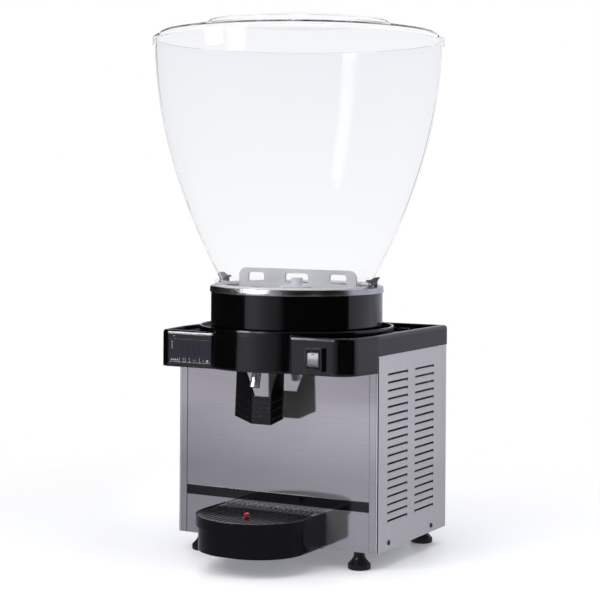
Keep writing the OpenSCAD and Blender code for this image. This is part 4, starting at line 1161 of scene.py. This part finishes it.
@dataclass
class RockerMarks:
    """An arc and a row of ribs on the rocker switch's face."""

    paint: Paintbox
    rocker: tuple[Vector, Vector]
    arc_r: float = 2.6
    arc_z: float = 356.4
    rib_z: Pair = (339.2, 343.0)
    rib_step: float = 3.0
    rib_w: float = 1.3
    ribs: int = 6
    arc_bar: float = 0.45
    arc_from: float = 15.0
    arc_step: float = 30.0
    arc_points: int = 6
    rib_back: float = 0.9
    rib_depth: float = 1.1

    def build(self) -> None:
        """Build the marks on the rocker."""
        low, high = self.rocker[0] / MM, self.rocker[1] / MM
        middle, front = (low.x + high.x) / 2, low.y
        sketch = Sketch("rocker_marks")
        arc = []
        for i in range(self.arc_points):
            turn = math.radians(self.arc_from + self.arc_step * i)
            x = middle + self.arc_r * math.cos(turn)
            arc.append((x, front, self.arc_z + self.arc_r * math.sin(turn)))
        sketch.tube(arc, self.arc_bar, 8)
        half = self.rib_w / 2
        z0, z1 = self.rib_z
        for i in range(self.ribs):
            x = middle + (i - (self.ribs - 1) / 2) * self.rib_step
            outline = rectangle(x - half, z0, x + half, z1)
            sketch.plate(outline, front + self.rib_back, self.rib_depth)
        look = self.paint.custom("rocker_print", SoftRubber((0.02, 0.02, 0.024), 0.5))
        sketch.finish(look, Body.ROCKER, Slot.PALE_GREY, smooth=False)


@dataclass
class TrayTrim:
    """Blended cheeks and a row of rim pegs on the drip tray."""

    paint: Paintbox
    cheek: Sequence[Pair] = ((92.0, -149.2), (96.4, -149.2), (88.4, -165.3))
    cheek_z: Pair = (35.5, 72.0)
    peg_x: float = -91.0
    peg_step: float = 10.1
    pegs: int = 18
    peg_y: float = -76.6
    peg: Sequence[Pair] = ((1.0, -0.3), (1.0, 0.35), (0.75, 0.6), (0.2, 0.7))
    rim_z: float = 89.5

    def cheeks(self) -> None:
        """Wedges that run the tray's step out into its straight sides."""
        sketch = Sketch("tray_cheeks")
        z0, z1 = self.cheek_z
        for sign in (-1, 1):
            sketch.prism([(sign * x, y, z0) for x, y in self.cheek], Vector((0, 0, z1 - z0)))
        sketch.finish(self.paint.made["tray_black"], Body.TRAY, Slot.BLACK_GLOSS, smooth=False)

    def rim_pegs(self) -> None:
        """Small pegs along the rear rim, light grey as a painted highlight."""
        sketch = Sketch("tray_pegs")
        for i in range(self.pegs):
            place = Matrix.Translation((self.peg_x + i * self.peg_step, self.peg_y, self.rim_z))
            sketch.lathe(self.peg, place, 12)
        # Painted highlight: the pegs are light grey so the rim seems to catch light.
        wear_and_painted_highlight = MouldedPlastic((0.2, 0.2, 0.22), 0.3, 0.5, edge=0.0003)
        look = self.paint.custom("painted_highlight_rim", wear_and_painted_highlight)
        sketch.finish(look, Body.TRAY, Slot.BLACK_GLOSS)

    def build(self) -> None:
        """Build the trim."""
        self.cheeks()
        self.rim_pegs()


@dataclass
class CabinetSeams:
    """Dark strips of painted shade in the gaps between the cabinet's front sheets and its sides.
    """

    paint: Paintbox
    front: float
    side: float
    z0: float = 31.0
    z1: float = 350.0
    front_x: float = -175.4
    front_w: float = 1.4
    side_w: float = 3.0
    front_back: float = 0.04
    front_depth: float = 0.06
    side_gap: float = 0.1
    side_depth: float = 0.03

    def build(self) -> None:
        """Build the dark strip of painted shade at each visible seam."""
        sketch = Sketch("cabinet_seams")
        x0, x1 = self.front_x - self.front_w / 2, self.front_x + self.front_w / 2
        strip = rectangle(x0, self.z0, x1, self.z1)
        sketch.plate(strip, self.front + self.front_back, self.front_depth)
        for sign in (-1, 1):
            x = sign * self.side
            y0 = self.front + self.side_gap
            y1 = y0 + self.side_w
            strip = [(x, y0, self.z0), (x, y1, self.z0), (x, y1, self.z1), (x, y0, self.z1)]
            sketch.prism(strip, Vector((sign * self.side_depth, 0, 0)))
        # Near-black matt strips paint the shade in the gaps.
        look = self.paint.custom("seam", SoftRubber((0.006, 0.006, 0.008), 0.8))
        sketch.finish(look, Body.CABINET, Slot.RUBBER, smooth=False)


@dataclass
class ScrewRecesses:
    """Flat dark crosses of painted shade standing for the cross recesses in the heads of the side
    screws.
    """

    paint: Paintbox
    places: Sequence[Point] = ((190.0, -26.2, 41.5), (190.0, 142.8, 41.5))
    head: float = 1.4
    arm: Pair = (2.3, 0.45)
    depth: float = 0.06

    def build(self) -> None:
        """Build the dark crosses of painted shade on both sides."""
        sketch = Sketch("screw_crosses")
        for x, y, z in self.places:
            for side in (-1, 1):
                face = side * (x + self.head)
                for long, short in (self.arm, self.arm[::-1]):
                    outline = [
                        (face, y - long, z - short),
                        (face, y + long, z - short),
                        (face, y + long, z + short),
                        (face, y - long, z + short),
                    ]
                    sketch.prism(outline, Vector((side * self.depth, 0, 0)))
        # The near-black crosses paint the shade inside each recess.
        look = self.paint.custom("recess", SoftRubber((0.002, 0.002, 0.002), 0.8))
        sketch.finish(look, Body.CABINET, Slot.RUBBER, smooth=False)


# Studio


@dataclass(frozen=True)
class PhotoCamera:
    """The photograph's camera: level, with a vertical shift."""

    place: Point = (1.3748, -2.4950, 0.6132)
    turn: float = 28.77
    roll: float = 0.388
    lens: float = 99.65
    shift: float = -0.1753

    @property
    def right(self) -> Vector:
        """Unit vector to the camera's right."""
        turn = math.radians(self.turn)
        return Vector((math.cos(turn), math.sin(turn), 0.0))

    @property
    def back(self) -> Vector:
        """Unit vector from the scene to the camera."""
        turn = math.radians(self.turn)
        return Vector((math.sin(turn), -math.cos(turn), 0.0))

    def towards(self, swing: float, rise: float) -> Vector:
        """A unit vector away from the object.

        Args:
            swing: Degrees to the camera's left.
            rise: Degrees above level.

        Returns:
            The vector.
        """
        swing, rise = math.radians(swing), math.radians(rise)
        flat = self.back * math.cos(swing) - self.right * math.sin(swing)
        return flat * math.cos(rise) + Vector((0, 0, math.sin(rise)))

    def build(self) -> None:
        """Make the camera and use it."""
        roll = math.radians(self.roll)
        up = Vector((0, 0, 1))
        across = self.right * math.cos(roll) + up * math.sin(roll)
        upward = up * math.cos(roll) - self.right * math.sin(roll)
        data = bpy.data.cameras.new("photo_camera")
        data.lens = self.lens
        data.sensor_width = 36.0
        data.shift_y = self.shift
        data.clip_start, data.clip_end = 0.05, 60.0
        camera = add_object("photo_camera", data)
        camera.matrix_world = Matrix(
            (
                (across.x, upward.x, self.back.x, self.place[0]),
                (across.y, upward.y, self.back.y, self.place[1]),
                (across.z, upward.z, self.back.z, self.place[2]),
                (0, 0, 0, 1),
            )
        )
        bpy.context.scene.camera = camera


@dataclass(frozen=True)
class SkyPatch:
    """A patch of a sphere round the object, seen only in reflections."""

    name: str
    profile: Sequence[Pair]
    elevations: Pair
    distance: float
    colour: Colour = WHITE
    middle: Point = SUBJECT
    through: bool = False
    columns: int = 60
    rows: int = 12

    def glow_at(self, azimuth: float) -> float:
        """The patch's glow at an azimuth, on straight lines between the profile's stops.

        Args:
            azimuth: Degrees to the camera's left.

        Returns:
            The glow.
        """
        for (a, low), (b, high) in zip(self.profile, self.profile[1:]):
            if azimuth <= b:
                return low + (high - low) * (azimuth - a) / (b - a)
        return self.profile[-1][1]

    def mesh(self, camera: PhotoCamera) -> bpy.types.Mesh:
        """The patch's grid, with its glow at each point.

        Args:
            camera: The camera that azimuths refer to.

        Returns:
            The mesh.
        """
        first, last = self.profile[0][0], self.profile[-1][0]
        low, high = self.elevations
        verts, faces, glows = [], [], []
        for j in range(self.rows + 1):
            rise = low + (high - low) * j / self.rows
            for i in range(self.columns + 1):
                azimuth = first + (last - first) * i / self.columns
                glows.append(self.glow_at(azimuth))
                away = camera.towards(azimuth, rise)
                verts.append(Vector(self.middle) + away * self.distance)
        width = self.columns + 1
        for j in range(self.rows):
            for i in range(self.columns):
                a = j * width + i
                faces.append((a, a + 1, a + 1 + width, a + width))
        mesh = bpy.data.meshes.new(self.name)
        mesh.from_pydata(verts, [], faces)
        mesh.attributes.new("glow", "FLOAT", "POINT").data.foreach_set("value", glows)
        return mesh

    def build(self, camera: PhotoCamera) -> None:
        """Make the patch.

        Args:
            camera: The camera that azimuths refer to.
        """
        patch = add_object(self.name, self.mesh(camera))
        patch.data.materials.append(self._glow())
        patch.visible_camera = False
        patch.visible_diffuse = False
        patch.visible_transmission = self.through
        patch.visible_shadow = False
        patch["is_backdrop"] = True

    def _glow(self) -> Material:
        """The patch's light.

        Returns:
            Its material.
        """
        material = bpy.data.materials.new(self.name)
        material.use_nodes = True
        tree = material.node_tree
        tree.nodes.clear()
        light = tree.nodes.new("ShaderNodeEmission")
        light.inputs["Color"].default_value = (*self.colour, 1.0)
        glow = tree.nodes.new("ShaderNodeAttribute")
        glow.attribute_name = "glow"
        tree.links.new(glow.outputs["Fac"], light.inputs["Strength"])
        output = tree.nodes.new("ShaderNodeOutputMaterial")
        tree.links.new(light.outputs["Emission"], output.inputs["Surface"])
        return material


@dataclass(frozen=True)
class SoftLight:
    """An area light aimed at the object."""

    name: str
    swing: float
    rise: float
    distance: float
    size: float
    power: float
    aim: Point = SUBJECT

    def build(self, camera: PhotoCamera) -> None:
        """Make the light. Its swing is counted to the camera's left.

        Args:
            camera: The camera that the swing refers to.
        """
        data = bpy.data.lights.new(self.name, "AREA")
        data.shape = "SQUARE"
        data.size = self.size
        data.energy = self.power
        lamp = add_object(self.name, data)
        away = camera.towards(self.swing, self.rise)
        lamp.location = Vector(self.aim) + away * self.distance
        lamp.rotation_mode = "QUATERNION"
        lamp.rotation_quaternion = away.to_track_quat("Z", "Y")
        lamp.visible_glossy = False
        lamp.visible_transmission = False
        lamp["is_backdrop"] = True


@dataclass
class Studio:
    """Floor, backdrop, lights and camera of the photograph."""

    camera: PhotoCamera = field(default_factory=PhotoCamera)
    floor_half: float = 6.0
    ambient: float = 0.75
    ambient_colour: Colour = (0.97, 0.98, 1.0)
    mirrored_colour: Colour = (0.66, 0.67, 0.8)
    lift: float = 0.12
    fade: Pair = (0.35, 1.1)
    depth: Pair = (-3.0, 3.0)
    mirror_tint: Colour = (0.87, 0.855, 1.0)
    left_share: float = 0.66
    left_lean: Point = (1.0, -0.6, 0.0)
    left_span: Pair = (-0.18, 0.12)
    mirrored: Sequence[Pair] = (
        (-3.0, 1.02),
        (-1.7, 1.06),
        (-1.46, 1.0),
        (-1.22, 0.88),
        (-1.02, 0.76),
        (-0.83, 0.64),
        (-0.38, 0.68),
        (0.2, 0.5),
        (0.84, 0.52),
        (1.3, 0.72),
        (3.0, 0.9),
    )

    patches: Sequence[SkyPatch] = (
        SkyPatch("dark_room", ((-72.0, 0.012), (168.0, 0.012)), (-60.0, 75.0), 2.3),
        SkyPatch(
            "left_wall",
            ((16.0, 0.05), (24.0, 0.3), (40.0, 0.48), (56.0, 0.85), (66.0, 0.78), (71.0, 0.66)),
            (-14.0, 14.0),
            2.15,
            (1.0, 0.96, 1.1),
        ),
        SkyPatch(
            "key_box",
            ((38.0, 0.0), (42.0, 9.0), (49.0, 9.0), (55.0, 3.0), (58.0, 0.5)),
            (12.0, 44.0),
            2.0,
            through=True,
        ),
        SkyPatch("edge_light", ((57.0, 34.0), (74.0, 34.0)), (14.0, 34.0), 2.05),
    )
    lights: Sequence[SoftLight] = (
        SoftLight("key_light", 48.0, 34.0, 2.4, 1.4, 34.0),
        SoftLight("top_light", -10.0, 80.0, 2.6, 2.4, 42.0),
        SoftLight("right_fill", -70.0, 20.0, 2.8, 1.6, 14.0),
    )

    def world(self) -> None:
        """A white surround that is dimmer and bluer for reflections and for diffuse light."""
        world = bpy.data.worlds.new("studio")
        bpy.context.scene.world = world
        world.use_nodes = True
        tree = world.node_tree
        tree.nodes.clear()
        path = tree.nodes.new("ShaderNodeLightPath")
        last = self._surround(tree, self.ambient_colour, self.ambient)
        for kind, colour, strength in (
            ("Is Glossy Ray", self.mirrored_colour, 1.0),
            ("Is Transmission Ray", WHITE, 1.0),
            ("Is Camera Ray", WHITE, 1.0),
        ):
            mix = tree.nodes.new("ShaderNodeMixShader")
            tree.links.new(path.outputs[kind], mix.inputs["Fac"])
            tree.links.new(last, mix.inputs[1])
            tree.links.new(self._surround(tree, colour, strength), mix.inputs[2])
            last = mix.outputs["Shader"]
        output = tree.nodes.new("ShaderNodeOutputWorld")
        tree.links.new(last, output.inputs["Surface"])

    @staticmethod
    def _surround(tree: bpy.types.NodeTree, colour: Colour, strength: float) -> Socket:
        """An even surround.

        Args:
            tree: The world's node tree.
            colour: The surround's colour.
            strength: Its strength.

        Returns:
            The shader socket.
        """
        made = tree.nodes.new("ShaderNodeBackground")
        made.inputs["Color"].default_value = (*colour, 1.0)
        made.inputs["Strength"].default_value = strength
        return made.outputs["Background"]

    def near_floor(self, shader: Shader, place: Socket) -> Socket:
        """The floor as the camera sees it: real shadows near the object, white far off.

        Args:
            shader: The floor's shader.
            place: Its coordinates.

        Returns:
            The shader socket.
        """
        cloud = shader.noise(place, 2.0, detail=2.0)
        tones = shader.ramp(cloud, [(0.2, (0.88, 0.88, 0.9)), (0.8, (0.9, 0.9, 0.915))])
        shader.feed(tones, "Base Color")
        shader.set(Roughness=0.35, Specular_IOR_Level=0.3)
        reach = shader.node("ShaderNodeVectorMath", operation="LENGTH")
        shader.link(place, reach.inputs[0])
        fade = shader.spread(reach.outputs["Value"], self.lift, 1.0, self.fade)
        return shader.blend(fade, shader.surface.outputs["BSDF"], shader.glow(WHITE, 1.0))

    def mirrored_floor(self, shader: Shader, place: Socket) -> Socket:
        """The floor as reflections see it: a soft grey that changes from front to back.

        Args:
            shader: The floor's shader.
            place: Its coordinates.

        Returns:
            The shader socket.
        """
        back = shader.spread(shader.axis(place, "Y"), 0.0, 1.0, self.depth)
        low, high = self.depth
        stops = [
            ((y - low) / (high - low), tint(self.mirror_tint, glow)) for y, glow in self.mirrored
        ]
        light = shader.glow(shader.ramp(back, stops), 1.0)
        lean = shader.node("ShaderNodeVectorMath", operation="DOT_PRODUCT")
        lean.inputs[1].default_value = self.left_lean
        shader.link(place, lean.inputs[0])
        share = shader.spread(lean.outputs["Value"], self.left_share, 1.0, self.left_span)
        shader.link(share, light.node.inputs["Strength"])
        return light

    def floor(self) -> None:
        """A pale floor that the camera and reflections see differently."""
        mesh = bpy.data.meshes.new("floor")
        half = self.floor_half
        corners = [(x, y, 0) for x, y in rectangle(-half, -half, half, half)]
        mesh.from_pydata(corners, [], [(0, 1, 2, 3)])
        floor = add_object("floor", mesh)
        shader = Shader("floor")
        place = shader.place()
        seen = self.near_floor(shader, place)
        mirrored = self.mirrored_floor(shader, place)
        path = shader.node("ShaderNodeLightPath").outputs
        only_glossy = shader.math("SUBTRACT", path["Is Glossy Ray"], path["Is Transmission Ray"])
        both = shader.blend(shader.math("GREATER_THAN", only_glossy, 0.5), seen, mirrored)
        shader.link(both, shader.output.inputs["Surface"])
        mesh.materials.append(shader.material)
        floor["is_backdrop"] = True

    def build(self) -> None:
        """Build the studio."""
        scene = bpy.context.scene
        scene.view_settings.view_transform = "Standard"
        self.world()
        self.floor()
        for patch in self.patches:
            patch.build(self.camera)
        for light in self.lights:
            light.build(self.camera)
        self.camera.build()


@dataclass
class SizeLog:
    """Sizes of the object as loaded and as dressed."""

    rows: dict[str, list[list[float]]] = field(default_factory=dict)

    def note(self, key: str) -> None:
        """Write down the bounds now.

        Args:
            key: What they are the bounds of.
        """
        self.rows[key] = [list(corner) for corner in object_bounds()]


def dress(frame: dict, paint: Paintbox) -> None:
    """Build every dressed piece.

    Args:
        paint: The finishes.
    """
    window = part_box("controller_window")[0].y / MM
    ControllerFace(paint, window).build()
    LeverRelief(paint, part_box("tap_lever")).build()
    RockerMarks(paint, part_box("switch_rocker")).build()
    TrayTrim(paint).build()
    panel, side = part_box("front_panel"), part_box("side_panel_right")
    CabinetSeams(paint, panel[0].y / MM, side[1].x / MM).build()
    ScrewRecesses(paint).build()


def main() -> None:
    """Build the dressed model and its studio."""
    logging.basicConfig(level=logging.INFO)
    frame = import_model()
    sizes = SizeLog()
    sizes.note("loaded")
    paint = Paintbox()
    special = {node: paint.custom(name, finish) for node, (name, finish) in SPECIAL.items()}
    paint.paint_nodes(frame, special)
    dress(frame, paint)
    Studio().build()
    sizes.note("dressed")


if __name__ == "__main__":
    main()
